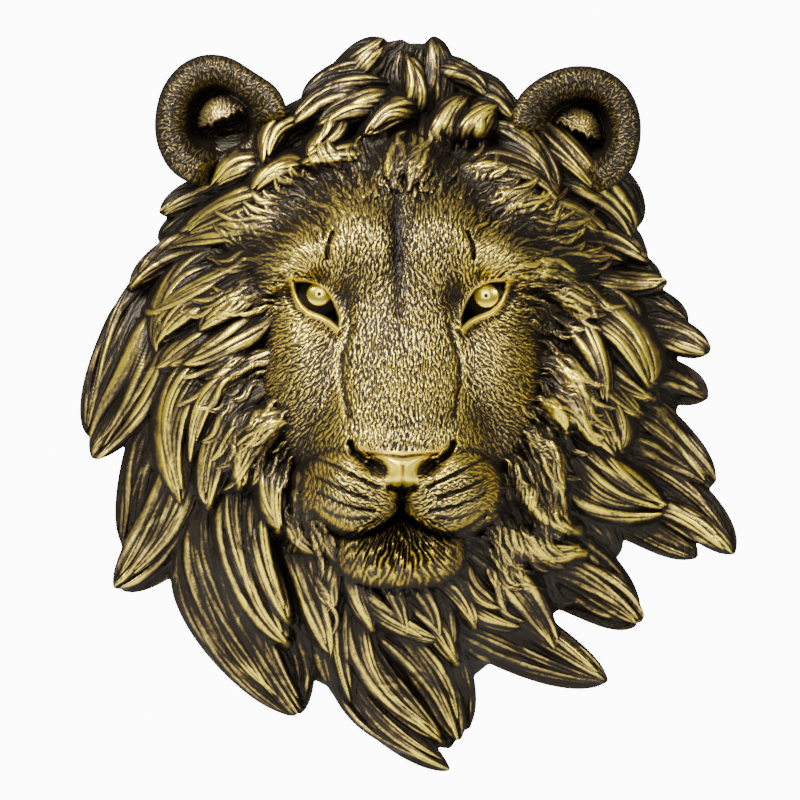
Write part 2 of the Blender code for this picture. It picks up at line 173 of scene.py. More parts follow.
# A lock's leaf shape: its width at the root as a share of its widest, how far along it is widest and starts
# to taper, and the power that rounds its tip.
ROOT_SHARE = 0.4
WIDEST_AT = 0.4
TAPER_FROM = 0.3
TIP_ROUND = 0.65
# How flat a strand's back is: the power that narrows the grooves between strands.
STRAND_ROUND = 2.4


@dataclass(frozen=True)
class Lock:
    """A lock of hair on the elevation: a leaf-shaped form along a bowed line.

    Its line runs from root to tip and bows to the left of its own direction by a share of its length.
    Sway adds an S. Lift is how far it lies above what it grows from, and slow the share of its length in
    which it rises that far. Ridges is how many strands lie side by side. It stands up by its body, and by
    its crown as a share of its width. Sink is how deep its edge lies, wider the factor from the named
    width to the carved one, and blunt how late it tapers.
    """

    root: Point
    tip: Point
    bow: float
    width: float
    lift: float
    sway: float = 0.0
    ridges: float = 2.6
    body: float = 3.0
    crown: float = 0.24
    sink: float = 2.0
    wider: float = 1.18
    slow: float = 0.6
    blunt: float = 2.8

    def spine(self, t: Array) -> tuple[Array, Array]:
        """The line's points: root + run t + left (4 bow t (1 - t) + sway sin 2 pi t)."""
        run_x, run_z = self.tip[0] - self.root[0], self.tip[1] - self.root[1]
        aside = 4.0 * self.bow * t * (1.0 - t) + self.sway * np.sin(2.0 * np.pi * t)
        return self.root[0] + run_x * t - run_z * aside, self.root[1] + run_z * t + run_x * aside

    def heading(self, t: Array) -> tuple[Array, Array]:
        """The line's derivative by t, in millimetres."""
        run_x, run_z = self.tip[0] - self.root[0], self.tip[1] - self.root[1]
        aside = 4.0 * self.bow * (1.0 - 2.0 * t) + 2.0 * np.pi * self.sway * np.cos(2.0 * np.pi * t)
        return run_x - run_z * aside, run_z + run_x * aside

    def leaf(self, t: Array) -> Array:
        """The half width as a share: root + (1 - root) s times (1 - taper^blunt)^round.

        s eases from 0 at the root to 1 where the lock is widest, and taper runs from 0 where the taper
        starts to 1 at the tip.
        """
        taper = np.clip((t - TAPER_FROM) / (1.0 - TAPER_FROM), 0.0, 1.0)
        grown = ROOT_SHARE + (1.0 - ROOT_SHARE) * eased(t, 0.0, WIDEST_AT)
        return grown * (1.0 - taper**self.blunt) ** TIP_ROUND

    def beside(self, t: float, aside: float) -> Point:
        """The place this far to the left of the line at t."""
        x, z = self.spine(np.float64(t))
        head_x, head_z = self.heading(np.float64(t))
        long = math.hypot(head_x, head_z)
        return float(x - aside * head_z / long), float(z + aside * head_x / long)


@dataclass(frozen=True)
class Bundle:
    """How a named lock is made up: a low body, and narrower strands that run along it and part at the tip.

    Pairs are the least and the most of a size that is drawn at random. Shares are of the lock's length for
    places along it, and of its width for places across it.
    """

    widths_for_more: tuple[float, ...] = (9.0, 13.0, 18.0)
    root_behind: float = -0.2
    bow_factor: float = 1.2
    sway_from_bow: float = 0.15
    body_high: float = 1.5
    body_crown: float = 0.12
    body_blunt: float = 4.2
    spread: float = 0.31
    spread_stray: float = 0.05
    starts: Point = (0.0, 0.12)
    ends: Point = (0.88, 0.97)
    tip_spread: float = 0.3
    tip_stray: float = 0.03
    bow_stray: float = 0.03
    sway_stray: float = 0.02
    widths: Point = (1.15, 1.7)
    lifts: Point = (1.0, 2.8)
    ridges: Point = (1.2, 2.2)
    strand_body: float = 2.2

    def strands(self, named: Lock, random: np.random.Generator) -> list[Lock]:
        """The body and the strands of one lock.

        Args:
            named: The lock that is split up.
            random: The source of the strands' small differences.

        Returns:
            The body first, then two to five strands, one of which goes all the way to the tip.
        """
        count = 2 + sum(named.width > width for width in self.widths_for_more)
        wide = named.wider * named.width
        lock = replace(
            named,
            root=named.beside(self.root_behind, 0.0),
            bow=self.bow_factor * named.bow,
            sway=named.sway + self.sway_from_bow * named.bow,
        )
        asides = np.linspace(-self.spread, self.spread, count)
        asides = asides + random.uniform(-self.spread_stray, self.spread_stray, count)
        ends = random.uniform(*self.ends, count)
        ends[random.integers(count)] = 1.0
        found = [replace(lock, body=self.body_high, crown=self.body_crown, blunt=self.body_blunt)]
        for aside, end in zip(asides, ends):
            start = random.uniform(*self.starts)
            tip_aside = self.tip_spread * aside + random.uniform(-self.tip_stray, self.tip_stray)
            found.append(
                replace(
                    lock,
                    root=lock.beside(start, aside * wide),
                    tip=lock.beside(end, tip_aside * wide),
                    bow=lock.bow * (end - start) + random.uniform(-self.bow_stray, self.bow_stray),
                    width=named.width / count * random.uniform(*self.widths),
                    lift=named.lift + random.uniform(*self.lifts),
                    sway=named.sway + random.uniform(-self.sway_stray, self.sway_stray),
                    ridges=random.uniform(*self.ridges),
                    body=self.strand_body,
                )
            )
        return found


# The named locks, region by region: root, tip, bow, width and lift.
LEFT_FLANK = (
    Lock((-125, 55), (-156, -18), -0.04, 20, 0),
    Lock((-117, 45), (-154, -29), 0.06, 23, 4),
    Lock((-87, 77), (-135, 58), -0.16, 13, 8),
    Lock((-92, 69), (-122, 25), -0.20, 11, 9),
    Lock((-72, 69), (-124, 43), 0.03, 12, 12),
    Lock((-86, 50), (-122, 29), -0.16, 15, 11),
    Lock((-86, 39), (-121, 16), 0.04, 14, 9),
    Lock((-69, 51), (-100, 36), -0.10, 9, 15),
    Lock((-69, 41), (-108, 19), 0.05, 9, 14),
    Lock((-89, 20), (-109, -50), -0.20, 16, 12),
    Lock((-67, 19), (-105, -30), -0.20, 10, 14),
    Lock((-69, 2), (-97, -52), -0.12, 17, 13),
    Lock((-55, -12), (-79, -43), -0.25, 13, 18),
    Lock((-61, -29), (-60, -64), -0.10, 11, 20),
    Lock((-48, -32), (-51, -52), 0.10, 8, 16),
    Lock((-51, -47), (-43, -76), -0.20, 8, 14),
    Lock((-40, -45), (-42, -75), 0.10, 7, 14),
    Lock((-36, -52), (-30, -81), -0.10, 8, 14),
)
LOWER_LEFT = (
    Lock((-124, -12), (-137, -74), -0.04, 15, 0),
    Lock((-107, -15), (-143, -94), 0.12, 22, 5),
    Lock((-97, -40), (-139, -95), 0.14, 18, -3),
    Lock((-104, -70), (-54, -157), -0.15, 16, 2),
    Lock((-96, -57), (-52, -158), -0.12, 18, 5),
    Lock((-85, -55), (-50, -154), -0.10, 17, 3),
    Lock((-67, -95), (-50, -157), 0.12, 15, -3),
    Lock((-75, -39), (-57, -121), -0.13, 20, 10),
    Lock((-69, -52), (-56, -109), -0.10, 11, 14),
    Lock((-54, -65), (-34, -127), 0.03, 15, 9),
    Lock((-27, -85), (-24, -150), -0.06, 10, 6),
)
BEARD = (
    Lock((0, -120), (25, -174), 0.0, 22, -6),
    Lock((-31, -76), (-33, -106), -0.10, 10, 11),
    Lock((-22, -80), (-13, -113), -0.10, 10, 13),
    Lock((-10, -84), (3, -117), 0.08, 10, 13),
    Lock((2, -86), (19, -118), 0.10, 10, 13),
    Lock((14, -84), (38, -112), 0.10, 10, 13),
    Lock((28, -78), (50, -104), -0.12, 10, 13),
    Lock((-29, -100), (25, -185), -0.19, 19, 1),
    Lock((-19, -96), (20, -169), -0.17, 14, 7),
    Lock((-11, -110), (30, -170), 0.10, 17, 6),
    Lock((2, -102), (33, -165), 0.12, 18, 0),
    Lock((-25, -82), (19, -120), -0.12, 11, 12),
    Lock((-3, -89), (28, -131), 0.04, 10, 11),
    Lock((12, -88), (26, -122), 0.10, 7, 9),
)
LOWER_RIGHT = (
    Lock((22, -100), (104, -140), -0.06, 23, 3),
    Lock((40, -90), (103, -138), -0.03, 14, 7),
    Lock((29, -72), (78, -123), 0.06, 18, 11),
    Lock((20, -86), (60, -114), -0.12, 10, 10),
    Lock((70, -92), (118, -113), 0.04, 17, -2),
    Lock((70, -82), (121, -111), 0.10, 15, 5),
    Lock((77, -67), (119, -108), 0.08, 16, 2),
    Lock((77, -45), (109, -78), 0.12, 17, -1),
    Lock((46, -54), (91, -75), -0.20, 14, 14),
    Lock((60, -31), (86, -66), -0.12, 11, 18),
    Lock((64, -16), (80, -54), 0.10, 8, 15),
)
RIGHT_FLANK = (
    Lock((112, -35), (167, -77), 0.10, 22, 0),
    Lock((117, -49), (166, -76), 0.06, 12, 6),
    Lock((100, -55), (149, -78), 0.03, 17, -2),
    Lock((87, -17), (132, -53), -0.08, 14, 12),
    Lock((79, -26), (131, -55), -0.18, 17, 8),
    Lock((111, -20), (156, -43), 0.03, 16, 0),
    Lock((115, -2), (157, -42), 0.05, 17, 2),
    Lock((114, 11), (154, 1), 0.10, 19, -2),
    Lock((120, 37), (155, 24), 0.04, 16, 3),
    Lock((112, 52), (144, 39), 0.07, 14, -1),
    Lock((92, 65), (134, 59), -0.10, 11, 10),
    Lock((84, 82), (123, 70), 0.0, 29, -5),
    Lock((90, 86), (124, 72), 0.04, 12, 8),
    Lock((97, 74), (131, 60), 0.09, 11, 2),
    Lock((94, 50), (119, 36), 0.20, 13, 8),
    Lock((92, 46), (126, 9), 0.10, 17, 14),
    Lock((72, 57), (99, 40), 0.15, 12, 14),
    Lock((100, 19), (126, 1), -0.06, 11, 9),
    Lock((98, 15), (120, -7), -0.08, 10, 11),
    Lock((84, 41), (103, -2), 0.12, 11, 14),
    Lock((76, 17), (98, -12), 0.15, 12, 15),
    Lock((94, 4), (110, -25), 0.12, 14, 13),
    Lock((77, 2), (108, -26), 0.02, 13, 14),
    Lock((70, -4), (84, -15), 0.20, 7, 18),
)
RIGHT_BROW = (
    Lock((52, 146), (103, 100), 0.06, 15, 12),
    Lock((77, 114), (117, 83), 0.10, 17, 10),
    Lock((100, 110), (118, 86), 0.20, 15, -2),
    Lock((44, 134), (78, 104), 0.18, 13, 16),
    Lock((37, 112), (79, 102), 0.18, 14, 18),
    Lock((47, 98), (78, 97), 0.15, 9, 17),
    Lock((52, 87), (102, 84), 0.18, 13, 15),
    Lock((60, 79), (123, 71), 0.12, 12, 11),
    Lock((69, 69), (111, 69), 0.10, 10, 12),
    Lock((62, 63), (88, 62), 0.12, 9, 15),
)
CROWN = (
    Lock((-4, 150), (1, 180), 0.0, 26, -5),
    Lock((34, 128), (48, 147), 0.16, 13, 17),
    Lock((22, 127), (32, 151), 0.12, 13, 17),
    Lock((17, 164), (45, 152), 0.15, 13, 12),
    Lock((35, 156), (59, 141), 0.10, 13, 12),
    Lock((22, 155), (55, 150), 0.14, 15, 2),
    Lock((14, 140), (17, 182), -0.05, 18, 8),
    Lock((6, 142), (5, 171), -0.10, 10, 12),
    Lock((-31, 151), (-7, 180), 0.07, 18, 6),
    Lock((-1, 152), (1, 179), 0.00, 15, 1),
    Lock((-14, 165), (-49, 151), -0.12, 11, 11),
    Lock((-11, 155), (-53, 140), -0.14, 13, 13),
    Lock((-3, 148), (-40, 138), -0.10, 12, 15),
    Lock((9, 143), (-17, 133), -0.20, 10, 17),
    Lock((8, 136), (-5, 108), -0.12, 8, 12),
    Lock((10, 141), (4, 104), 0.08, 11, 12),
)
LEFT_BROW = (
    Lock((-32, 149), (-46, 124), 0.20, 7, 16),
    Lock((-45, 141), (-67, 119), -0.28, 7, 14),
    Lock((-16, 126), (-48, 118), -0.06, 7, 15),
    Lock((-46, 114), (-73, 105), -0.18, 10, 17),
    Lock((-66, 117), (-94, 106), -0.15, 11, 10),
    Lock((-54, 104), (-108, 83), -0.06, 13, 14),
    Lock((-81, 106), (-120, 93), -0.10, 14, 7),
    Lock((-87, 95), (-121, 80), -0.08, 13, 2),
    Lock((-59, 89), (-117, 77), -0.05, 12, 10),
)
MANE = LEFT_FLANK + LOWER_LEFT + BEARD + LOWER_RIGHT + RIGHT_FLANK + RIGHT_BROW + CROWN + LEFT_BROW

# Which way the short hair of the face grows, at places on its right half.
FACE_FLOW = (
    ((0, -10), (0.0, 1.0)),
    ((0, 30), (0.0, 1.0)),
    ((12, 0), (0.05, 1.0)),
    ((25, -5), (0.15, 1.0)),
    ((10, 60), (-0.35, 1.0)),
    ((22, 62), (-0.3, 1.0)),
    ((20, 80), (-0.05, 1.0)),
    ((30, 95), (0.3, 1.0)),
    ((5, 95), (-0.1, 1.0)),
    ((12, 110), (0.1, 1.0)),
    ((35, 110), (0.5, 1.0)),
    ((45, 90), (0.8, 1.0)),
    ((45, 75), (0.5, 0.85)),
    ((60, 70), (1.0, 0.5)),
    ((70, 80), (1.0, 0.6)),
    ((70, 50), (1.0, 0.0)),
    ((62, 35), (1.0, -0.25)),
    ((50, 25), (1.0, -0.8)),
    ((46, 18), (0.85, -0.9)),
    ((54, 12), (1.0, -0.8)),
    ((40, 10), (0.6, -1.0)),
    ((38, -10), (0.5, -1.0)),
    ((55, -5), (1.0, -0.7)),
    ((60, -20), (1.0, -0.8)),
    ((70, 20), (1.0, -0.5)),
    ((50, -30), (0.8, -1.0)),
    ((27, 20), (0.1, -1.0)),
    ((33, 30), (0.6, -0.8)),
    ((20, -40), (1.0, 0.45)),
    ((35, -45), (1.0, 0.4)),
    ((20, -55), (1.0, 0.2)),
    ((36, -58), (1.0, 0.5)),
    ((0, -75), (0.0, -1.0)),
    ((16, -78), (0.35, -1.0)),
)

# The rows of whisker roots on the right half of the muzzle.
WHISKER_ROWS = (
    ((43.0, -29.0), (35.0, -32.5), (27.5, -36.5), (20.0, -40.0), (12.5, -43.5)),
    ((42.0, -39.0), (35.0, -42.5), (27.5, -46.0), (18.0, -49.0)),
    ((41.5, -46.0), (35.0, -50.0), (27.5, -53.0), (14.0, -55.5)),
    ((39.0, -55.0), (32.5, -58.0), (25.0, -59.5), (17.0, -59.0)),
)


def smooth_max(a: Array, b: Array, blend: float) -> Array:
    """The higher of two surfaces, with a fillet of about this size where they meet."""
    share = np.clip(0.5 + 0.5 * (a - b) / blend, 0.0, 1.0)
    return b + (a - b) * share + blend * share * (1.0 - share)


def eased(value: Array, start: float, end: float) -> Array:
    """0 below start, 1 above end and 3 s^2 - 2 s^3 between them."""
    share = np.clip((value - start) / (end - start), 0.0, 1.0)
    return share * share * (3.0 - 2.0 * share)


def mound(
    x: Array,
    z: Array,
    middle: Point,
    radii: Point,
    top: float,
    fall: float,
    tilt: float = 0.0,
    power: float = 2.0,
    sharp: float = 2.0,
) -> Array:
    """A rounded form that drops by fall from its top to the edge of a tilted superellipse.

    Args:
        x: Places across the elevation.
        z: Places up the elevation.
        middle: Where the form is highest.
        radii: Its half sizes along its own two axes.
        top: Its height at the middle.
        fall: How much lower it is at the edge.
        tilt: How far its first axis is turned up, in radians.
        power: The superellipse's power, 2 for an ellipse.
        sharp: How late the surface starts to fall.

    Returns:
        top - fall ((|u|^power + |v|^power)^(sharp / power)).
    """
    dx, dz = x - middle[0], z - middle[1]
    u = np.abs(dx * math.cos(tilt) + dz * math.sin(tilt)) / radii[0]
    v = np.abs(dz * math.cos(tilt) - dx * math.sin(tilt)) / radii[1]
    return top - fall * (u**power + v**power) ** (sharp / power)


def spot(x: Array, z: Array, middle: Point, radii: Point, tilt: float = 0.0) -> Array:
    """A Gaussian spot over a tilted ellipse: exp(-(u^2 + v^2))."""
    return np.exp(mound(x, z, middle, radii, 0.0, 1.0, tilt))


def distance_to_path(x: Array, z: Array, path: tuple[Point, ...]) -> Array:
    """How far each place is from a line.

    Args:
        x: Places across the elevation.
        z: Places up the elevation.
        path: The points that the line runs through.

    Returns:
        The least of the distances to the line's straight runs.
    """
    nearest = np.full_like(x, np.inf)
    for start, end in zip(path[:-1], path[1:]):
        run_x, run_z = end[0] - start[0], end[1] - start[1]
        along = ((x - start[0]) * run_x + (z - start[1]) * run_z) / (run_x**2 + run_z**2)
        along = np.clip(along, 0.0, 1.0)
        nearest = np.minimum(nearest, np.hypot(x - start[0] - along * run_x, z - start[1] - along * run_z))
    return nearest


def groove(x: Array, z: Array, path: tuple[Point, ...], width: float, deep: float) -> Array:
    """A cut along a line: deep exp(-(distance / width)^2)."""
    return deep * np.exp(-((distance_to_path(x, z, path) / width) ** 2))


def crest(phase: Array, keen: float) -> Array:
    """Ridges at whole phases, sharper with a higher keen: |2 s - 1|^keen, with s the phase's fraction."""
    return np.abs(2.0 * (phase - np.floor(phase)) - 1.0) ** keen


def strand(phase: Array) -> Array:
    """Strands side by side: 1 on their rounded backs, falling to a narrow groove at whole phases."""
    return 1.0 - crest(phase, STRAND_ROUND)


def dome_reach(angle: Array) -> Array:
    """The dome's reach at an angle: each of the twelve radii eased into the next one."""
    count = len(DOME_REACH)
    place = (angle / math.tau * count) % count
    before = np.floor(place).astype(int) % count
    share = eased(place - np.floor(place), 0.0, 1.0)
    radii = np.array(DOME_REACH)
    return radii[before] * (1.0 - share) + radii[(before + 1) % count] * share


def placed(x: Array, z: Array, depth: Array) -> Array:
    """Points in metres for places on the elevation at these depths off the wall, turned and drawn in.

    Args:
        x: Places across the elevation.
        z: Places up the elevation.
        depth: How far each stands off the wall.

    Returns:
        Rows of (x', -depth, z'), with x and z scaled by 1 - depth / viewing distance. Before that, x is
        shifted by the head's turn times what the place stands in front of the cheeks.
    """
    nearer = 1.0 - depth / VIEWING_DISTANCE
    turned = x + TURN * np.maximum(depth - TURN_FROM, 0.0)
    return np.stack([turned * nearer, -depth, z * nearer], axis=-1) * MM


def linked(name: str, data: bpy.types.ID) -> bpy.types.Object:
    """A new object of the scene that holds this mesh, light or camera."""
    made = bpy.data.objects.new(name, data)
    bpy.context.scene.collection.objects.link(made)
    return made


@dataclass
class Relief:
    """A carved surface: depths off the wall over a square grid on the elevation.

    With each depth go how far inside the outline the place is, which way the hair grows there, how much
    gold lies on it, and how near it is to a strand's back, dimmed towards each lock's root as painted shade.
    """

    low: Point
    high: Point
    pitch: float = GRID_PITCH
    seed: int = 1
    x: Array = field(init=False)
    z: Array = field(init=False)
    depth: Array = field(init=False)
    inside: Array = field(init=False)
    flow_x: Array = field(init=False)
    flow_z: Array = field(init=False)
    gilt: Array = field(init=False)
    # strands' backs, with painted shade towards the locks' roots
    backs_and_root_shade: Array = field(init=False)
    random: np.random.Generator = field(init=False)

    def __post_init__(self) -> None:
        """Lays out the grid and leaves it empty."""
        across = np.arange(self.low[0], self.high[0], self.pitch)
        up = np.arange(self.low[1], self.high[1], self.pitch)
        self.x, self.z = np.meshgrid(across, up)
        self.depth = np.zeros_like(self.x)
        self.inside = np.full_like(self.x, FAR_OUTSIDE)
        self.flow_x = np.zeros_like(self.x)
        self.flow_z = np.ones_like(self.x)
        self.gilt = np.zeros_like(self.x)
        self.backs_and_root_shade = np.ones_like(self.x)
        self.random = np.random.default_rng(self.seed)

    def blurred(self, values: Array, reach: float) -> Array:
        """The values under a Gaussian of this reach: their transform times exp(-2 (pi reach f)^2)."""
        up = np.fft.fftfreq(values.shape[0], self.pitch)[:, None]
        across = np.fft.rfftfreq(values.shape[1], self.pitch)[None, :]
        keep = np.exp(-2.0 * (np.pi * reach) ** 2 * (across**2 + up**2))
        return np.fft.irfft2(np.fft.rfft2(values) * keep, values.shape)

    def grain(self, size: float) -> Array:
        """Random blobs of about this size, with mean 0 and spread 1."""
        blobs = self.blurred(self.random.standard_normal(self.x.shape), size)
        return (blobs - blobs.mean()) / blobs.std()

    def cells_at(self, x: Array, z: Array) -> tuple[Array, Array]:
        """The grid's nearest row and column to each place."""
        rows = np.clip(np.rint((z - self.low[1]) / self.pitch).astype(int), 0, self.x.shape[0] - 1)
        columns = np.clip(np.rint((x - self.low[0]) / self.pitch).astype(int), 0, self.x.shape[1] - 1)
        return rows, columns

    def window(self, x: Array, z: Array, margin: float) -> tuple[slice, slice]:
        """The rows and columns that hold these places and a margin round them."""
        across = np.array([x.min() - margin, x.max() + margin])
        up = np.array([z.min() - margin, z.max() + margin])
        rows, columns = self.cells_at(across, up)
        return slice(rows[0], rows[1] + 1), slice(columns[0], columns[1] + 1)

    def middles(self, values: Array) -> Array:
        """The value in the middle of each cell: the mean of its four corners."""
        return 0.25 * (values[:-1, :-1] + values[1:, :-1] + values[:-1, 1:] + values[1:, 1:])

    def turn_flow(self, angle: Array) -> None:
        """Turns each direction of growth anticlockwise by an angle in radians."""
        self.flow_x, self.flow_z = (
            self.flow_x * np.cos(angle) - self.flow_z * np.sin(angle),
            self.flow_z * np.cos(angle) + self.flow_x * np.sin(angle),
        )

    def lay_flow(self, guides: Array, step: int = 6) -> None:
        """Fills the directions of growth from guides.

        Each guide counts by 1 / (distance^2 + 9)^2. Directions are averaged as doubled angles, so that a
        strand and its reverse agree. The sum is worked out on a coarser grid and smoothed over this one.

        Args:
            guides: Rows of x, z and the direction's two components.
            step: How many points of the grid each point of the coarser one stands for.
        """
        angle = 2.0 * np.arctan2(guides[:, 3], guides[:, 2])
        x, z = self.x[::step, ::step, None], self.z[::step, ::step, None]
        weight = 1.0 / ((x - guides[:, 0]) ** 2 + (z - guides[:, 1]) ** 2 + 9.0) ** 2
        blocks = np.ones((step, step))
        rows, columns = self.x.shape
        even = np.kron((weight @ np.cos(angle)) / weight.sum(axis=-1), blocks)[:rows, :columns]
        odd = np.kron((weight @ np.sin(angle)) / weight.sum(axis=-1), blocks)[:rows, :columns]
        half = 0.5 * np.arctan2(self.blurred(odd, step * self.pitch), self.blurred(even, step * self.pitch))
        self.flow_x, self.flow_z = np.cos(half), np.sin(half)

    def combed(self, noise: Array, reach: float, steps: int) -> Array:
        """Fine strands: noise averaged along the direction of growth.

        From each point a line is followed both ways through the flow, one grid step at a time. The noise
        under it is summed with weights exp(-(distance / reach)^2).

        Args:
            noise: Random values on the grid.
            reach: How far the averaging goes.
            steps: How many grid steps are followed each way.

        Returns:
            The sum divided by the root of the sum of its squared weights.
        """
        rows, columns = np.indices(noise.shape)
        total = noise.copy()
        squares = np.ones_like(noise)
        for way in (1.0, -1.0):
            row, column = rows.astype(float), columns.astype(float)
            ahead_x, ahead_z = self.flow_x * way, self.flow_z * way
            for step in range(1, steps + 1):
                column = np.clip(column + ahead_x, 0, noise.shape[1] - 1)
                row = np.clip(row + ahead_z, 0, noise.shape[0] - 1)
                at = np.rint(row).astype(np.int32), np.rint(column).astype(np.int32)
                weight = np.exp(-((step * self.pitch / reach) ** 2))
                total += weight * noise[at]
                squares += weight**2
                next_x, next_z = self.flow_x[at], self.flow_z[at]
                same = np.where(next_x * ahead_x + next_z * ahead_z < 0.0, -1.0, 1.0)
                ahead_x, ahead_z = next_x * same, next_z * same
        return total / np.sqrt(squares)

    def lay_lock(self, lock: Lock, ground: Array, phase: float) -> None:
        """Carves one lock: where it is higher than what is there, it takes over the surface.

        Each point finds its nearest place t along the lock's line and its distance u from that line, as a
        share of the half width. The lock is a bell sqrt(1 - u^2) over its edge, less the grooves between
        its strands, and past the edge it falls steeply. The edge rides on half the ground at the point
        and half of that under the line. The strands wander a little and draw together with the leaf.
        Where the lock takes over, its strands' backs are kept for the gilding, dimmed towards the root as
        painted shade.

        Args:
            lock: The lock to carve.
            ground: The surface that it grows from, over the whole grid.
            phase: A number from 0 to 1 that makes its strands differ from those of other locks.
        """
        samples = np.linspace(0.0, 1.0, 30)
        line_x, line_z = lock.spine(samples)
        wide = lock.wider * lock.width
        view = self.window(line_x, line_z, 0.5 * wide + 4.0)
        x, z = self.x[view], self.z[view]
        away = (x[..., None] - line_x) ** 2 + (z[..., None] - line_z) ** 2
        t = samples[np.argmin(away, axis=-1)]
        for _ in range(2):
            at_x, at_z = lock.spine(t)
            head_x, head_z = lock.heading(t)
            t = np.clip(t + ((x - at_x) * head_x + (z - at_z) * head_z) / (head_x**2 + head_z**2), 0.0, 1.0)
        at_x, at_z = lock.spine(t)
        head_x, head_z = lock.heading(t)
        speed = np.hypot(head_x, head_z)
        head_x, head_z = head_x / speed, head_z / speed
        away = np.hypot(x - at_x, z - at_z)
        leaf = lock.leaf(t)
        half = 0.5 * wide * leaf
        u = np.clip(((z - at_z) * head_x - (x - at_x) * head_z) / np.maximum(half, 0.3), -1.0, 1.0)

        bell = np.sqrt(1.0 - u**2) * (1.0 + 0.3 * u * head_x)
        wander = 0.22 * np.sin(2.0 * np.pi * (1.1 * t + 1.7 * phase)) + 0.1 * np.sin(9.0 * t + 5.0 * phase)
        turns = 0.5 * lock.ridges * (u + 0.12 * np.sin(3.0 * u + 7.0 * phase)) + wander + phase
        backs, faint = strand(turns), strand(3.0 * turns + 0.4 * wander)
        valleys = 0.13 * (1.0 - backs) + 0.02 * (1.0 - faint)
        ride = lock.lift * np.sin(0.5 * np.pi * np.minimum(t / lock.slow, 1.0)) + lock.body * t**2
        ride = ride - (0.5 + 0.12 * wide) * (1.0 - eased(t, 0.0, 0.3)) - lock.sink
        edge = 0.5 * ground[self.cells_at(at_x, at_z)] + 0.5 * ground[view] + ride
        top = edge + (lock.body + lock.crown * wide) * leaf * bell - wide * valleys * leaf * (1.0 - u**4)
        top = np.where(away < half, top, edge - 3.0 * (away - half))

        above = top > self.depth[view]
        self.depth[view] = np.where(above, top, self.depth[view])
        # painted shade: the strands' backs are dimmed towards the lock's root, where the locks above shade
        # it
        root_shade_factor = 0.72 + 0.28 * eased(t, 0.1, 0.6)
        self.backs_and_root_shade[view] = np.where(above, (0.8 * backs + 0.2 * faint) * root_shade_factor, self.backs_and_root_shade[view])
        self.inside[view] = np.maximum(self.inside[view], half - away)
        splay = 0.5 * wide * u * (lock.leaf(t + 0.01) - lock.leaf(t - 0.01)) / (0.02 * speed)
        self.flow_x[view] = np.where(above, head_x - head_z * splay, self.flow_x[view])
        self.flow_z[view] = np.where(above, head_z + head_x * splay, self.flow_z[view])

    def rise(self, reach: float) -> Array:
        """How far the surface stands above its own surroundings within this reach."""
        known = (self.inside > 0.0).astype(float)
        share = np.maximum(self.blurred(known, reach), 0.05)
        return self.depth - self.blurred(self.depth * known, reach) / share


